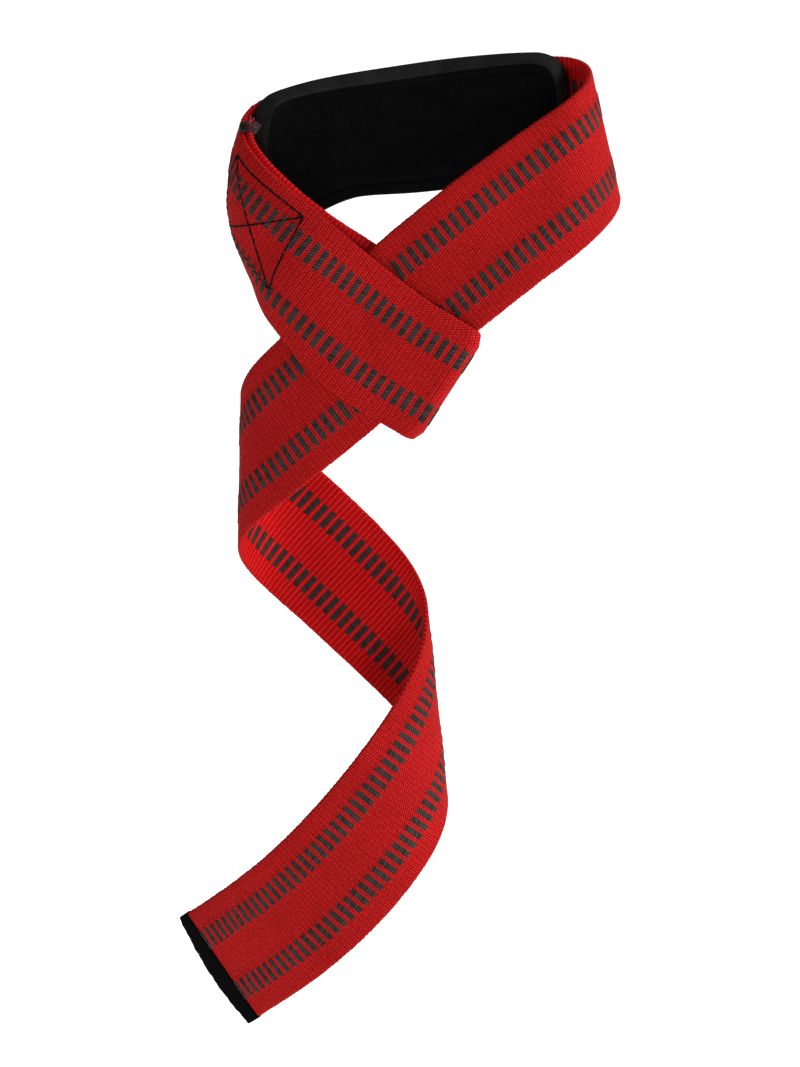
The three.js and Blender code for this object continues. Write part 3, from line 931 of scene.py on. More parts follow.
@dataclass(frozen=True)
class FoamCover:
    """Black foam under a fine knitted nylon cover: dull, with its rim drawn lighter than its face, partly the
    cover's own tone and partly painted light.
    """

    # The face is darker and the rim lighter: partly the cover's own tones, partly painted shade on the face
    # inside the loop and painted light on the side that the light falls on
    face: str = "#060606"
    rim: str = "#1d1d1e"
    rim_inset: float = 0.9
    knit_pitch: float = 0.9
    roughness: float = 0.85
    specular: float = 0.02

    def build(self) -> bpy.types.Material:
        """Makes the material. The knit is drawn coarser than the real 0.3 mm, so that it shows.

        Returns:
            The material.
        """
        material, tree, shader = start_material("knitted nylon over foam")
        uv = add_node(tree, "UVMap", uv_map="pad_mm")
        inset = add_node(tree, "Attribute", attribute_name="inset")
        edge = (inset.outputs["Fac"], self.rim_inset - 0.3, self.rim_inset + 0.2, 0.0, 1.0)
        inside = add_node(tree, "MapRange", edge, **SMOOTH)
        blotch = add_node(tree, "TexNoise", {"Vector": uv, "Scale": 0.12, "Detail": 4.0, "Roughness": 0.6})
        loops = {"Vector": uv, "Scale": 1 / self.knit_pitch, "Randomness": 0.35}
        knit = add_node(tree, "TexVoronoi", loops, feature="F1")
        grain = add_node(tree, "TexNoise", {"Vector": uv, "Scale": 2.2, "Detail": 2.0, "Roughness": 0.7})
        # Painted light and shade: the rim lighter and the face darker, partly the cover's own tones
        base = mix_colours(tree, inside, colour(self.rim), colour(self.face))
        tone = add_node(tree, "MapRange", (blotch, 0.3, 0.7, 0.75, 1.3))
        speck = add_node(tree, "MapRange", (grain, 0.3, 0.7, 0.8, 1.25))
        shade = add_node(tree, "Math", (tone, speck), operation="MULTIPLY")
        toned = add_node(tree, "VectorMath", {0: base, "Scale": shade.outputs[0]}, operation="SCALE")
        height = add_node(tree, "Math", (knit.outputs["Distance"], grain), operation="ADD")
        bump = add_node(tree, "Bump", {"Strength": 0.5, "Distance": 0.15 * MM, "Height": height})
        gloss = {"Roughness": self.roughness, "Specular IOR Level": self.specular}
        set_inputs(tree, shader, {"Base Color": toned, "Normal": bump, **gloss})
        return material


@dataclass(frozen=True)
class BondedThread:
    """Bonded nylon sewing thread: black, with the soft shine of its wax and the ridges of its twist, the
    ridges painted lighter as a painted sheen.
    """

    tone: str = "#050505"
    # The lighter tone goes on the twist's ridges, a painted sheen
    high: str = "#0e0e0f"
    twist_pitch: float = 0.5
    # Makes the waves about 1.9 mm long, coarser than the real twist, so that they show
    coarser: float = 6
    roughness: float = 0.6
    specular: float = 0.04

    def build(self) -> bpy.types.Material:
        """Makes the material, with the twist as slanting waves.

        Returns:
            The material.
        """
        material, tree, shader = start_material("bonded nylon thread")
        place = add_node(tree, "TexCoord")
        scale = 1 / (self.twist_pitch * MM * self.coarser)
        twist = {"Vector": place.outputs["Object"], "Scale": scale, "Distortion": 1.5}
        wave = add_node(tree, "TexWave", twist, bands_direction="DIAGONAL").outputs["Fac"]
        # Painted sheen: the twist's ridges in the lighter tone
        tone = mix_colours(tree, wave, colour(self.tone), colour(self.high))
        bump = add_node(tree, "Bump", {"Strength": 0.4, "Distance": 0.1 * MM, "Height": wave})
        gloss = {"Roughness": self.roughness, "Specular IOR Level": self.specular}
        set_inputs(tree, shader, {"Base Color": tone, "Normal": bump, **gloss})
        return material


@dataclass(frozen=True)
class DippedEnd:
    """Vinyl dip over the cut end, set dull black with small pits and the ribs showing through."""

    tone: str = "#040404"
    worn: str = "#0a0a0a"
    pits_per_metre: float = 900.0
    specular: float = 0.01

    def build(self) -> bpy.types.Material:
        """Makes the material, with pits and a rubbed tone from noise.

        Returns:
            The material.
        """
        material, tree, shader = start_material("vinyl dipped end")
        place = add_node(tree, "TexCoord")
        pits = {"Vector": place.outputs["Object"], "Scale": self.pits_per_metre, "Detail": 4.0}
        spots = add_node(tree, "TexNoise", {**pits, "Roughness": 0.6})
        worn = add_node(tree, "MapRange", (spots, 0.5, 0.75, 0.0, 1.0))
        tone = mix_colours(tree, worn, colour(self.tone), colour(self.worn))
        bump = add_node(tree, "Bump", {"Strength": 0.5, "Distance": 0.2 * MM, "Height": spots})
        rough = add_node(tree, "MapRange", (spots, 0.3, 0.7, 0.5, 0.75))
        gloss = {"Roughness": rough, "Specular IOR Level": self.specular}
        set_inputs(tree, shader, {"Base Color": tone, "Normal": bump, **gloss})
        return material


@dataclass(frozen=True)
class SingedYarn:
    """Yarn ends melted with a hot knife: hard dark beads that still show red here and there."""

    name: str = "singed yarn"
    burnt: str = "#0b0506"
    red: str = "#5a0f18"
    blotches_per_metre: float = 700.0
    roughness: float = 0.6
    specular: float = 0.2

    def build(self) -> bpy.types.Material:
        """Makes the material, burnt and red in blotches.

        Returns:
            The material.
        """
        material, tree, shader = start_material(self.name)
        place = add_node(tree, "TexCoord")
        burns = {"Vector": place.outputs["Object"], "Scale": self.blotches_per_metre, "Detail": 3.0}
        blotch = add_node(tree, "TexNoise", {**burns, "Roughness": 0.6})
        share = add_node(tree, "MapRange", (blotch, 0.5, 0.65, 0.0, 1.0))
        tone = mix_colours(tree, share, colour(self.burnt), colour(self.red))
        bump = add_node(tree, "Bump", {"Strength": 0.7, "Distance": 0.2 * MM, "Height": blotch})
        gloss = {"Roughness": self.roughness, "Specular IOR Level": self.specular}
        set_inputs(tree, shader, {"Base Color": tone, "Normal": bump, **gloss})
        return material


@dataclass(frozen=True)
class PaleFloor:
    """Matte pale paper under and behind the strap."""

    tone: str = "#f2f2f1"
    grain_tone: str = "#e2e2e0"
    light: str = "#ffffff"
    glow: float = 0.75
    roughness: float = 0.95

    def build(self) -> bpy.types.Material:
        """Makes the material, with a faint grain.

        Returns:
            The material.
        """
        material, tree, shader = start_material("matte pale paper")
        place = add_node(tree, "TexCoord")
        grain = add_node(tree, "TexNoise", {"Vector": place.outputs["Object"], "Scale": 40.0, "Detail": 2.0})
        share = add_node(tree, "MapRange", (grain, 0.3, 0.7, 0.0, 0.06))
        tone = mix_colours(tree, share, colour(self.tone), colour(self.grain_tone))
        glow = {"Emission Color": colour(self.light), "Emission Strength": self.glow}
        set_inputs(tree, shader, {"Base Color": tone, "Roughness": self.roughness, **glow})
        return material


# Pieces


@dataclass
class Webbing:
    """The whole ribbon, with its ribs and its scalloped edges as real relief."""

    form: StrapForm
    finish: WovenPolyester
    rows_per_rib: int = 4
    face_places: tuple[float, ...] = (4.0, 6.0, 6.3, 8.2, 10.2, 12.2, 12.5, 15.0)
    core: float = 0.74
    relief: float = 0.05
    bar_relief: float = 0.2
    edge_radius: float = 0.75
    scallop: float = 0.1
    edge_turns: tuple[float, ...] = (38.0, 90.0, 142.0)
    # How strongly a rib pulls its edge in, least and most
    edge_pull: tuple[float, float] = (0.4, 1.6)
    # Where a bar's relief ends, from the bar's side: its top and its foot
    bar_side: tuple[float, float] = (-0.35, 0.3)
    seed: int = 3

    def _ring(self) -> tuple[np.ndarray, np.ndarray, np.ndarray]:
        """The cross-section, from one edge over the outer face, round the other edge and back.

        Returns:
            Places across, lifts as shares of half the thickness, and which points scallop.
        """
        flat = self.form.web_width / 2 - self.edge_radius
        half = np.array([*self.face_places, flat])
        face = np.r_[-half[::-1], 0, half]
        turns = np.radians(self.edge_turns)
        edge_across = flat + self.edge_radius * np.sin(turns)
        edge_lift = np.cos(turns)
        across = np.r_[face, edge_across, face[::-1], -edge_across]
        lift = np.r_[np.ones(self.columns), edge_lift, -np.ones(self.columns), -edge_lift]
        scalloped = np.r_[np.zeros(self.columns), np.sin(turns), np.zeros(self.columns), -np.sin(turns)]
        return across, lift, scalloped

    @property
    def columns(self) -> int:
        """Number of points across one face."""
        return 2 * len(self.face_places) + 3

    def build(self) -> bpy.types.Object:
        """Makes the ribbon and its UV map in millimetres.

        Returns:
            The ribbon.
        """
        form, finish = self.form, self.finish
        step = finish.rib_pitch / self.rows_per_rib
        rows = int(form.length / step) + 1
        u = np.arange(rows) * step
        across, lift, scalloped = self._ring()
        ribs = u / finish.rib_pitch
        crown = np.cos(math.pi * ribs) ** 2
        half = (self.core + self.relief * crown)[:, None]
        raised = self._bars(ribs, across, lift)
        random = np.random.default_rng(self.seed)
        pulls = random.uniform(*self.edge_pull, (int(ribs[-1]) + 2, 2))
        pull = pulls[np.floor(ribs + 0.5).astype(int)]
        edge_pull = np.where(across > 0, pull[:, :1], pull[:, 1:])
        waist = (1 - crown)[:, None] * edge_pull + 0.5 * (edge_pull - 1)
        w = across - scalloped * self.scallop * waist
        points = form.ribbon(u[:, None], w, lift * half + raised)
        ring = len(across)
        faces = grid_faces(rows, ring)
        piece = make_object("webbing_ribbon", points, faces.tolist() + self._caps(rows, ring))
        self._map(piece, u, across, ring, len(faces))
        finish_piece(piece, finish.build())
        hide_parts("webbing_strap")
        return piece

    def _bars(self, ribs: np.ndarray, across: np.ndarray, lift: np.ndarray) -> np.ndarray:
        """How far the grey bars stand proud of the faces.

        Args:
            ribs: Places along the ribbon, in ribs.
            across: Places across of the ring.
            lift: Lifts of the ring's points.

        Returns:
            Heights in millimetres, a row for each place along.
        """
        finish = self.finish
        half_width = finish.bar_width / 2
        top, foot = self.bar_side
        from_bar = abs((ribs / 2 + 0.5) % 1 - 0.5) * 2 * finish.rib_pitch
        on_bar = 1 - smoothstep(from_bar, half_width + top, half_width + foot)
        from_row = abs(abs(across) - finish.bar_row)
        on_row = (from_row < finish.bar_length / 2 + 0.02) & (lift > 0.99)
        return self.bar_relief * on_bar[:, None] * on_row

    def _caps(self, rows: int, ring: int) -> list[list[int]]:
        """Closes both ends of the ribbon.

        Args:
            rows: Number of rings.
            ring: Number of points in a ring.

        Returns:
            Vertex numbers of each face.
        """
        caps = []
        for k in range(self.columns - 1):
            low, high = k, 2 * self.columns + len(self.edge_turns) - 1 - k
            caps.append([low, high, high - 1, low + 1])
        far = (rows - 1) * ring
        caps += [[far + v for v in reversed(cap)] for cap in caps]
        edge = len(self.edge_turns)
        for start in (0, far):
            right = [self.columns - 1 + k for k in range(edge + 2)]
            left = [2 * self.columns + edge - 1 + k for k in range(edge + 1)] + [0]
            for cap in (right, left):
                cap = [start + v for v in (reversed(cap) if start else cap)]
                caps.append(list(reversed(cap)))
        return caps

    def _map(
        self, piece: bpy.types.Object, u: np.ndarray, across: np.ndarray, ring: int, quads: int
    ) -> None:
        """Gives the ribbon its UV map: along, and across with the inner face shifted.

        Args:
            piece: The ribbon.
            u: Places along of the rows.
            across: Places across of the ring.
            ring: Number of points in a ring.
            quads: Number of faces before the end caps.
        """
        corner = np.empty(len(piece.data.loops), np.int32)
        piece.data.loops.foreach_get("vertex_index", corner)
        edge = len(self.edge_turns)
        segment = np.arange(ring)
        inner_first = self.columns + edge // 2
        inner_last = 2 * self.columns + edge - 1 + edge // 2
        on_inner = (segment >= inner_first) & (segment <= inner_last)
        face_inner = np.zeros(len(corner), bool)
        face_inner[: quads * 4] = np.repeat(np.tile(on_inner, len(u) - 1), 4)
        along = u[corner // ring]
        place = across[corner % ring] + np.where(face_inner, self.finish.face_shift, 0)
        layer = piece.data.uv_layers.new(name="ribbon_mm")
        layer.data.foreach_set("uv", np.stack([along, place], axis=-1).astype(np.float32).ravel())


@dataclass
class WristPad:
    """The foam pad inside the loop: a slab with round corners, a sewn channel and a soft crown."""

    form: StrapForm
    finish: FoamCover
    length: float = 101.0
    width: float = 43.5
    corner: float = 10.5
    drop: float = 0.3
    # How far its lower edge hangs lower: place along the pad, and the depth
    skirt: Table = ((0, 0), (27, -0.4), (45, 1.0), (62, 2.2), (80, 1.8), (101, 0))
    step: float = 0.6
    corner_steps: int = 14
    thickness: float = 6.3
    # How far the face crowns up, and between which distances from the outline it rises
    crown: float = 0.25
    crown_rise: tuple[float, float] = (1.0, 9.0)
    # Slow waves of the face, so that the foam isn't dead flat: radians per millimetre, and the height
    waves: tuple[float, float, float, float] = (0.23, 0.19, 0.11, 0.17)
    wave_height: float = 0.07
    # Start, end, low and high side of the sewn channel
    seam: tuple[float, float, float, float] = (3.0, 95.0, -16.2, 18.4)
    channel: float = 0.5
    channel_width: float = 0.6
    pucker_pitch: float = 3.2
    # First and last ring of the face: distance in from the outline, and distance to the middle
    face_start: float = 1.7
    face_stop: float = 0.4
    # Cross-section of the side from the back to the face: distance in from the outline, and depth
    side: Table = (
        (1.2, 0.0), (0.4, 0.1), (0.0, 0.6), (-0.05, 2.6), (0.0, 4.7), (0.2, 5.5), (0.6, 6.0), (1.1, 6.25)
    )

    @property
    def back(self) -> float:
        """Offset of the pad's back from the webbing's middle surface."""
        return -self.form.web_thickness / 2 - self.form.layer_gap

    def outline(self, inset: float) -> np.ndarray:
        """The pad's flat outline, moved in by a distance.

        Args:
            inset: The distance, in millimetres.

        Returns:
            Points along and across, from the middle of the left end, round in order.
        """
        radius = max(self.corner - inset, 0.3)
        half = self.width / 2 - inset
        run = max(half - radius, 0.0)
        side = np.linspace(0, run, math.ceil(self.width / 2 / self.step))
        bend = np.linspace(0, math.pi / 2, self.corner_steps + 1)[1:-1]
        low, high = inset + radius, self.length - inset - radius
        top = np.linspace(low, high, math.ceil(self.length / self.step))
        left = np.stack([np.full(len(side), inset), side], axis=-1)
        left_bend = np.stack([low - radius * np.cos(bend), run + radius * np.sin(bend)], axis=-1)
        middle = np.stack([top, np.full(len(top), run + radius)], axis=-1)
        right_bend = np.stack([high + radius * np.sin(bend), run + radius * np.cos(bend)], axis=-1)
        right = np.stack([np.full(len(side), self.length - inset), side[::-1]], axis=-1)
        upper = np.vstack([left, left_bend, middle, right_bend, right])
        lower = upper[1:-1][::-1] * [1, -1]
        return np.vstack([upper, lower])

    def place(self, flat: np.ndarray, depth: np.ndarray) -> np.ndarray:
        """Places points of the flat pad in the part's frame.

        Args:
            flat: Points along and across the pad.
            depth: Their distances from the pad's back.

        Returns:
            Points in metres.
        """
        along, across = flat[..., 0], flat[..., 1]
        hang = soft_table(self.skirt, along) * np.clip(-across / (self.width / 2), 0, 1)
        p = self.form.pad_start + along
        w = across - self.drop - hang + soft_table(self.form.drift, p)
        return self.form.surface(p, w, self.back - depth)

    def place_face(self, p: np.ndarray, w: np.ndarray, lift: float) -> np.ndarray:
        """Places points by the pad's face, for frames whose z points out of the loop."""
        return self.place(np.stack([p, w], axis=-1), self.thickness + lift)

    def build(self) -> bpy.types.Object:
        """Makes the pad from rings that follow its outline.

        Returns:
            The pad.
        """
        inner = np.arange(self.face_start, self.width / 2 - self.face_stop, self.step)
        insets = np.r_[[inset for inset, _ in self.side], inner]
        depth = np.r_[[depth for _, depth in self.side], self.thickness + 0 * inner]
        flat = np.array([self.outline(inset) for inset in insets])
        on_face = (depth > self.thickness - 0.1)[:, None]
        soft = smoothstep(insets, *self.crown_rise)[:, None] * on_face
        swell = self.crown + self.wave_height * self.uneven(flat)
        points = self.place(flat, depth[:, None] + soft * swell - self.sewn(flat) * on_face)
        rings, count = flat.shape[:2]
        faces = grid_faces(rings, count)[:, ::-1].tolist()
        half = count // 2
        for start, flip in ((0, False), ((rings - 1) * count, True)):
            lid = [[start, start + 1, start + count - 1]]
            lid.append([start + half - 1, start + half, start + half + 1])
            for k in range(1, half - 1):
                lid.append([start + k, start + k + 1, start + count - k - 1, start + count - k])
            faces += [face[::-1] for face in lid] if flip else lid
        piece = make_object("foam_pad", points, faces)
        self._map(piece, flat, insets)
        finish_piece(piece, self.finish.build())
        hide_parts("wrist_pad")
        return piece

    def uneven(self, flat: np.ndarray) -> np.ndarray:
        """The slow waves of the foam's face.

        Args:
            flat: Points along and across the pad.

        Returns:
            Values between -1.6 and 1.6.
        """
        along, across = flat[..., 0], flat[..., 1]
        first, second, third, fourth = self.waves
        lumps = np.sin(along * first + 0.6) * np.cos(across * second + 0.4)
        return lumps + 0.6 * np.sin(along * third - across * fourth)

    def sewn(self, flat: np.ndarray) -> np.ndarray:
        """How deep the seam pulls the face in.

        Args:
            flat: Points along and across the pad.

        Returns:
            Depths in millimetres.
        """
        start, end, low, high = self.seam
        along, across = flat[..., 0], flat[..., 1]
        out_along = np.maximum(np.maximum(start - along, along - end), 0)
        out_across = np.maximum(np.maximum(low - across, across - high), 0)
        to_ends = np.minimum(abs(along - start), abs(along - end)) + out_across
        to_sides = np.minimum(abs(across - low), abs(across - high)) + out_along
        near = np.minimum(to_ends, to_sides)
        pucker = 0.8 + 0.2 * np.cos(TAU * (along + across) / self.pucker_pitch)
        return self.channel * pucker * np.exp(-((near / self.channel_width) ** 2))

    def _map(self, piece: bpy.types.Object, flat: np.ndarray, insets: np.ndarray) -> None:
        """Gives the pad its UV map in millimetres and the attribute that tells the rim from the face.

        Args:
            piece: The pad.
            flat: Points of each ring, along and across.
            insets: How far in from the outline each ring lies.
        """
        corner = np.empty(len(piece.data.loops), np.int32)
        piece.data.loops.foreach_get("vertex_index", corner)
        layer = piece.data.uv_layers.new(name="pad_mm")
        layer.data.foreach_set("uv", flat.reshape(-1, 2)[corner].astype(np.float32).ravel())
        attribute = piece.data.attributes.new("inset", "FLOAT", "POINT")
        attribute.data.foreach_set("value", np.repeat(insets, flat.shape[1]).astype(np.float32))


@dataclass
class Stitching:
    """Lines of lockstitch. One stitch is modelled and copied along every line."""

    form: StrapForm
    finish: BondedThread
    length: float = 3.3
    pitch: float = 2.75
    thread: float = 0.62
    dip: float = 0.12
    swell: float = 0.5
    web_face: float = 0.79

    def stitch(self) -> bpy.types.Object:
        """Models one stitch at the origin: a thread that comes up, lies along x and goes down.

        Returns:
            The stitch.
        """
        deselect_all()
        bpy.ops.mesh.primitive_uv_sphere_add(segments=8, ring_count=8, radius=1.0)
        piece = bpy.context.object
        bpy.ops.object.mode_set(mode="EDIT")
        bpy.ops.mesh.select_all(action="SELECT")
        bpy.ops.transform.rotate(value=math.pi / 2, orient_axis="Y", center_override=(0, 0, 0))
        bpy.ops.transform.resize(value=(self.length / 2, self.thread / 2, self.thread / 2))
        bpy.ops.object.mode_set(mode="OBJECT")
        bpy.ops.object.shade_smooth()
        for vertex in piece.data.vertices:
            share = abs(vertex.co.x) / (self.length / 2)
            vertex.co.z -= self.dip * share**3
            vertex.co.y *= 1 + self.swell * (1 - share) * share
        piece.data.transform(Matrix.Scale(MM, 4))
        return piece

    def line(self, start: tuple[float, float], end: tuple[float, float]) -> tuple[np.ndarray, float]:
        """Places of the stitches of a straight seam.

        Args:
            start: Where the seam starts, along and across.
            end: Where it ends.

        Returns:
            The middles of the stitches and the seam's angle from the webbing's length.
        """
        start, end = np.array(start), np.array(end)
        span = math.hypot(*(end - start))
        count = max(1, round(span / self.pitch))
        shares = (np.arange(count) + 0.5) / count
        angle = math.atan2(end[1] - start[1], end[0] - start[0])
        return start + shares[:, None] * (end - start), angle

    def seams(self, lines: list[tuple], points_at: Callable, offset: float) -> list[Matrix]:
        """Places of all stitches of several seams.

        Args:
            lines: Start and end of each seam, along and across.
            points_at: The form's function that places points.
            offset: How far out the seam lies.

        Returns:
            A matrix for each stitch.
        """
        matrices = []
        for start, end in lines:
            middles, angle = self.line(start, end)
            p, w = middles.T
            for matrix in self.form.frames(points_at, p, w, offset):
                matrices.append(matrix @ Matrix.Rotation(-angle, 4, "Z"))
        return matrices


@dataclass
class EyeStitching(Stitching):
    """The box with two diagonals that holds the eye, on the outer layer and inside the loop."""

    corners: tuple[tuple[float, float], ...] = ((36, 15.3), (65, 15), (60, -9.4), (31.5, -8))
    sink: float = 0.05

    def build(self) -> bpy.types.Object:
        """Sews the box and its diagonals through both layers.

        Returns:
            All the stitches.
        """
        box = self.corners
        lines = list(zip(box, box[1:] + box[:1])) + [(box[0], box[2]), (box[1], box[3])]
        face = self.web_face - self.sink
        places = self.seams(lines, self.form.outer_layer, face)
        flip = Matrix.Rotation(math.pi, 4, "X")
        places += [matrix @ flip for matrix in self.seams(lines, self.form.inner_layer, face)]
        piece = lay_copies(self.stitch(), "eye_stitching", places)
        finish_piece(piece, self.finish.build())
        return piece


@dataclass
class PadStitching(Stitching):
    """The seam round the pad's face, which also shows on the webbing's outer face."""

    length: float = 2.5
    pitch: float = 3.2
    thread: float = 0.4
    dip: float = 0.3
    pad: WristPad = field(kw_only=True)

    def build(self) -> bpy.types.Object:
        """Sews the pad's seam.

        Returns:
            All the stitches.
        """
        pad, form = self.pad, self.form
        start, end, low, high = pad.seam
        corners = [(start, high), (end, high), (end, low), (start, low)]
        flip = Matrix.Rotation(math.pi, 4, "X")
        lines = list(zip(corners, corners[1:] + corners[:1]))
        sunk = self.thread / 4 - pad.channel
        places = [matrix @ flip for matrix in self.seams(lines, pad.place_face, sunk)]
        lines = [[(form.pad_start + p, w) for p, w in line] for line in lines]
        places += self.seams(lines, form.outer_layer, self.web_face)
        piece = lay_copies(self.stitch(), "pad_stitching", places)
        finish_piece(piece, self.finish.build())
        return piece


@dataclass
class SealedTip:
    """The dipped end of the tail: a blunt band that closes over the webbing and bulges a little."""

    form: StrapForm
    finish: DippedEnd
    overlap: float = 0.9
    length: float = 3.8
    thickness: float = 2.1
    bulge: float = 3.0
    bulge_shift: float = 2.5
    rounding: float = 0.5
    spare_width: float = 0.5
    # Slices that let it bend: how far out they go across, and their steps across and along
    slice_reach: float = 18.0
    slice_step: float = 0.75
    slice_step_along: float = 0.8

    def build(self) -> bpy.types.Object:
        """Models the band flat from a cube, and lays it on the end of the tail.

        Returns:
            The tip.
        """
        deselect_all()
        bpy.ops.mesh.primitive_cube_add(size=1.0)
        piece = bpy.context.object
        piece.name = "sealed_tip"
        bpy.ops.object.mode_set(mode="EDIT")
        bpy.ops.mesh.select_all(action="SELECT")
        long = self.length + self.overlap
        bpy.ops.transform.resize(value=(long, self.form.web_width + self.spare_width, self.thickness))
        bpy.ops.transform.translate(value=(long / 2 - self.overlap, 0, 0))
        bpy.ops.mesh.bevel(offset=self.rounding, segments=3, affect="EDGES")
        cut_slices(1, -self.slice_reach, self.slice_reach + 0.1, self.slice_step)
        cut_slices(0, 0.2, self.length - 0.6, self.slice_step_along)
        bpy.ops.object.mode_set(mode="OBJECT")
        bpy.ops.object.shade_smooth()
        x, y, z = vertex_places(piece).T
        out = smoothstep(x, 0.5, self.length)
        x = x + self.bulge * out * np.cos(math.pi * (y + self.bulge_shift) / (self.form.web_width + 6))
        # The dip runs a little, so its edge and thickness waver by a tenth of a millimetre
        x = x + 0.12 * out * np.sin(y * 0.9) + 0.08 * out * np.sin(y * 2.3 + 1)
        z = z * (1 - 0.12 * out + 0.05 * np.sin(y * 1.7 + x))
        move_vertices(piece, self.form.surface(self.form.tail_end - self.form.web_stop + x, y, z))
        finish_piece(piece, self.finish.build())
        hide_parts("tail_tip")
        return piece


@dataclass
class FrayedEnd:
    """The ribbon's singed cut end inside the loop, with a few loose yarns at its upper corner."""

    form: StrapForm
    finish: SingedYarn
    yarn_finish: SingedYarn
    bead: float = 1.2
    blob: float = 1.7
    blob_start: float = 14.5
    blob_full: float = 18.0
    bead_reach: float = 18.5
    # Length of the slices that let the bead and the yarns bend
    slice_step: float = 0.5
    yarn: float = 0.2
    yarn_length: float = 4.0
    yarn_bend: float = 0.12
    yarn_wave: float = 0.25
    yarn_count: int = 16
    # Where the yarns stand, in from the edge, and how far they lean and spread in radians
    yarn_run: tuple[float, float] = (-0.8, 4.0)
    yarn_lean: float = 0.9
    yarn_spread: float = 0.8
    seed: int = 7

    def _bead(self) -> bpy.types.Object:
        """Models the melted bead along the cut edge.

        Returns:
            The bead.
        """
        deselect_all()
        bpy.ops.mesh.primitive_cylinder_add(vertices=12, radius=self.bead, depth=self.form.web_width + 0.4)
        piece = bpy.context.object
        bpy.ops.object.mode_set(mode="EDIT")
        cut_slices(2, -self.bead_reach, self.bead_reach + 0.1, self.slice_step)
        bpy.ops.object.mode_set(mode="OBJECT")
        bpy.ops.object.shade_smooth()
        out, lift, across = vertex_places(piece).T
        random = np.random.default_rng(self.seed)
        shifts = random.uniform(0, TAU, 6)
        swell = sum(np.sin(across * (0.7 + 0.55 * k) + shift) for k, shift in enumerate(shifts)) / 6
        scale = 0.85 + 0.35 * swell + self.blob * smoothstep(across, self.blob_start, self.blob_full)
        move_vertices(piece, self.form.ribbon(0.2 + 0.8 * out * scale, across + 0.3, lift * scale))
        return piece

    def _yarns(self) -> bpy.types.Object:
        """Models one loose yarn and lays copies of it at the corner.

        Returns:
            All the yarns.
        """
        deselect_all()
        long = self.yarn_length
        bpy.ops.mesh.primitive_cylinder_add(
            vertices=6, radius=self.yarn, depth=long, location=(0, 0, long / 2)
        )
        piece = bpy.context.object
        bpy.ops.object.transform_apply(location=True)
        bpy.ops.object.mode_set(mode="EDIT")
        cut_slices(2, self.slice_step, long - 0.1, self.slice_step)
        bpy.ops.object.mode_set(mode="OBJECT")
        bpy.ops.object.shade_smooth()
        for vertex in piece.data.vertices:
            vertex.co.x += self.yarn_bend * vertex.co.z**2
            vertex.co.y += self.yarn_wave * math.sin(vertex.co.z * 1.6)
        piece.data.transform(Matrix.Scale(MM, 4))
        random = np.random.default_rng(self.seed)
        count = self.yarn_count
        w = self.form.web_width / 2 - random.uniform(*self.yarn_run, count)
        places = []
        for matrix in self.form.frames(self.form.ribbon, np.full(count, 0.3), w, 0.0):
            lean = Matrix.Rotation(random.uniform(-self.yarn_lean, self.yarn_lean), 4, "X")
            spread = random.uniform(-self.yarn_spread, self.yarn_spread)
            flat = Matrix.Rotation(-math.pi / 2 + spread, 4, "Y")
            size = Matrix.Scale(random.uniform(0.5, 1.0), 4)
            places.append(matrix @ flat @ lean @ size)
        return lay_copies(piece, "loose_yarns", places)

    def build(self) -> list[bpy.types.Object]:
        """Makes the bead and the yarns.

        Returns:
            Both pieces.
        """
        bead, yarns = self._bead(), self._yarns()
        bead.name = "singed_end"
        finish_piece(bead, self.finish.build())
        finish_piece(yarns, self.yarn_finish.build())
        return [bead, yarns]


# Studio


@dataclass(frozen=True)
class Lamp:
    """A soft square light: its name, its place and side in metres, and its power in watts."""

    name: str
    place: tuple[float, float, float]
    size: float
    power: float


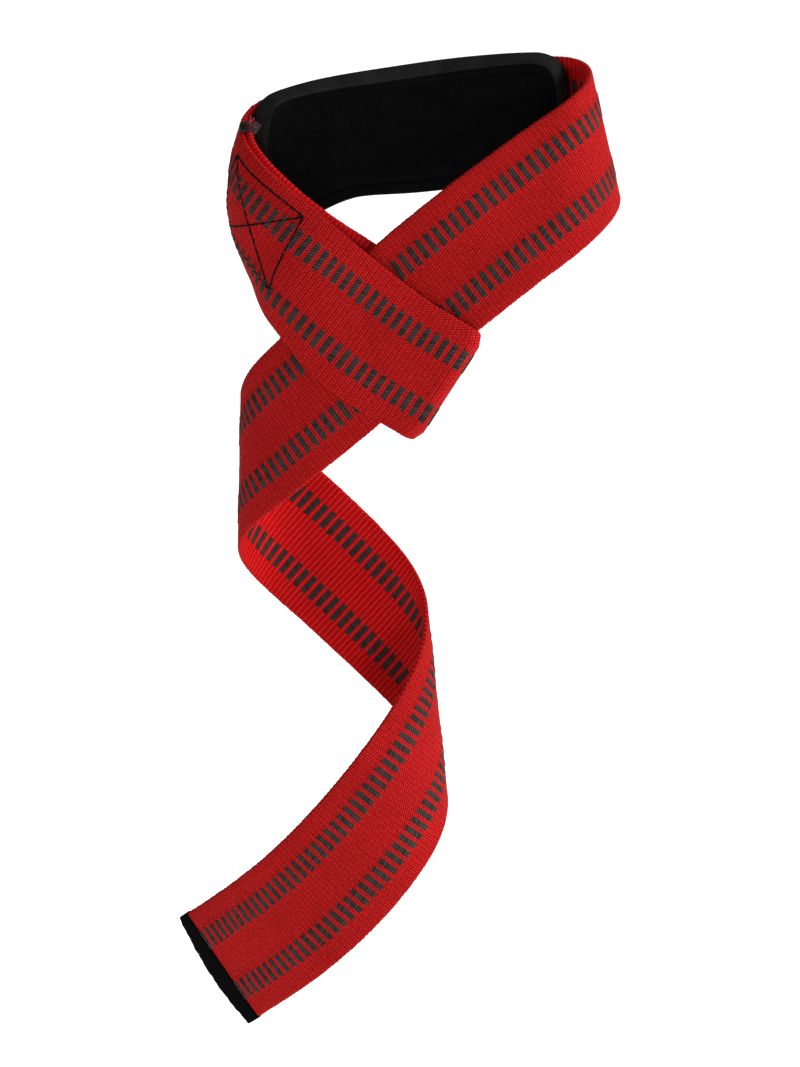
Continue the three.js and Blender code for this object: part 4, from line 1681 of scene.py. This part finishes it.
@dataclass
class Studio:
    """A pale floor, soft light and the camera."""

    floor_drop: float = 0.20
    floor_size: float = 14.0
    distance: float = 1.1
    elevation: float = 16.0
    target: tuple[float, float, float] = (-0.0072, -0.0200, -0.1155)
    lens: float = 126.9
    sensor: float = 36.0
    world_tone: str = "#fbfbfa"
    world_strength: float = 0.38
    lamps: tuple[Lamp, ...] = (
        Lamp("top_light", (0.2, 1.0, 2.6), 3.0, 20.0),
        Lamp("right_light", (1.6, -0.1, 0.75), 0.7, 34.0),
        Lamp("low_light", (0.3, -1.5, -0.3), 0.25, 6.0),
    )

    def _light(self, lamp: Lamp) -> None:
        """Adds a light that faces the strap.

        Args:
            lamp: What the light is like.
        """
        data = bpy.data.lights.new(lamp.name, "AREA")
        data.shape = "SQUARE"
        data.size = lamp.size
        data.energy = lamp.power
        light = bpy.data.objects.new(lamp.name, data)
        light.location = lamp.place
        aim = Vector(self.target) - Vector(lamp.place)
        light.rotation_euler = aim.to_track_quat("-Z", "Y").to_euler()
        bpy.context.scene.collection.objects.link(light)

    def _floor(self) -> None:
        """Lays the floor well below the strap."""
        low = CAD_BOX[0][2]
        deselect_all()
        bpy.ops.mesh.primitive_plane_add(size=self.floor_size, location=(0, 0, low - self.floor_drop))
        floor = bpy.context.object
        floor.name = "floor"
        bpy.ops.object.transform_apply(location=True)
        floor.data.materials.append(PaleFloor().build())

    def _world(self) -> None:
        """Sets the plain light all round."""
        world = bpy.data.worlds.new("studio")
        world.use_nodes = True
        background = world.node_tree.nodes["Background"]
        background.inputs["Color"].default_value = colour(self.world_tone)
        background.inputs["Strength"].default_value = self.world_strength
        bpy.context.scene.world = world

    def _camera(self) -> None:
        """Sets the camera at the photograph's angle."""
        view = bpy.data.cameras.new("camera")
        view.lens = self.lens
        view.sensor_fit = "VERTICAL"
        view.sensor_height = self.sensor
        camera = bpy.data.objects.new("camera", view)
        tilt = math.radians(self.elevation)
        back = Vector((0, -math.cos(tilt), math.sin(tilt)))
        camera.location = Vector(self.target) + back * self.distance
        camera.rotation_euler = (math.pi / 2 - tilt, 0, 0)
        bpy.context.scene.collection.objects.link(camera)
        bpy.context.scene.camera = camera
        bpy.context.scene.view_settings.view_transform = "Standard"

    def build(self) -> None:
        """Sets the floor, the world, the lights and the camera."""
        self._floor()
        self._world()
        for lamp in self.lamps:
            self._light(lamp)
        self._camera()


def main() -> None:
    """Builds the strap piece by piece, then the studio."""
    logging.basicConfig(level=logging.INFO, format="%(name)s %(message)s")
    form = StrapForm()
    LOG.info("ribbon %.1f mm, loop %.1f mm, eye reach %.1f mm", form.length, form.loop.length, form.eye_reach)
    thread = BondedThread()
    Webbing(form, WovenPolyester()).build()
    pad = WristPad(form, FoamCover())
    pad.build()
    EyeStitching(form, thread).build()
    PadStitching(form, thread, pad=pad).build()
    SealedTip(form, DippedEnd()).build()
    loose = SingedYarn("loose polyester yarn", burnt="#7c1526", red="#b8364a")
    FrayedEnd(form, SingedYarn(), loose).build()
    Studio().build()


if __name__ == "__main__":
    main()
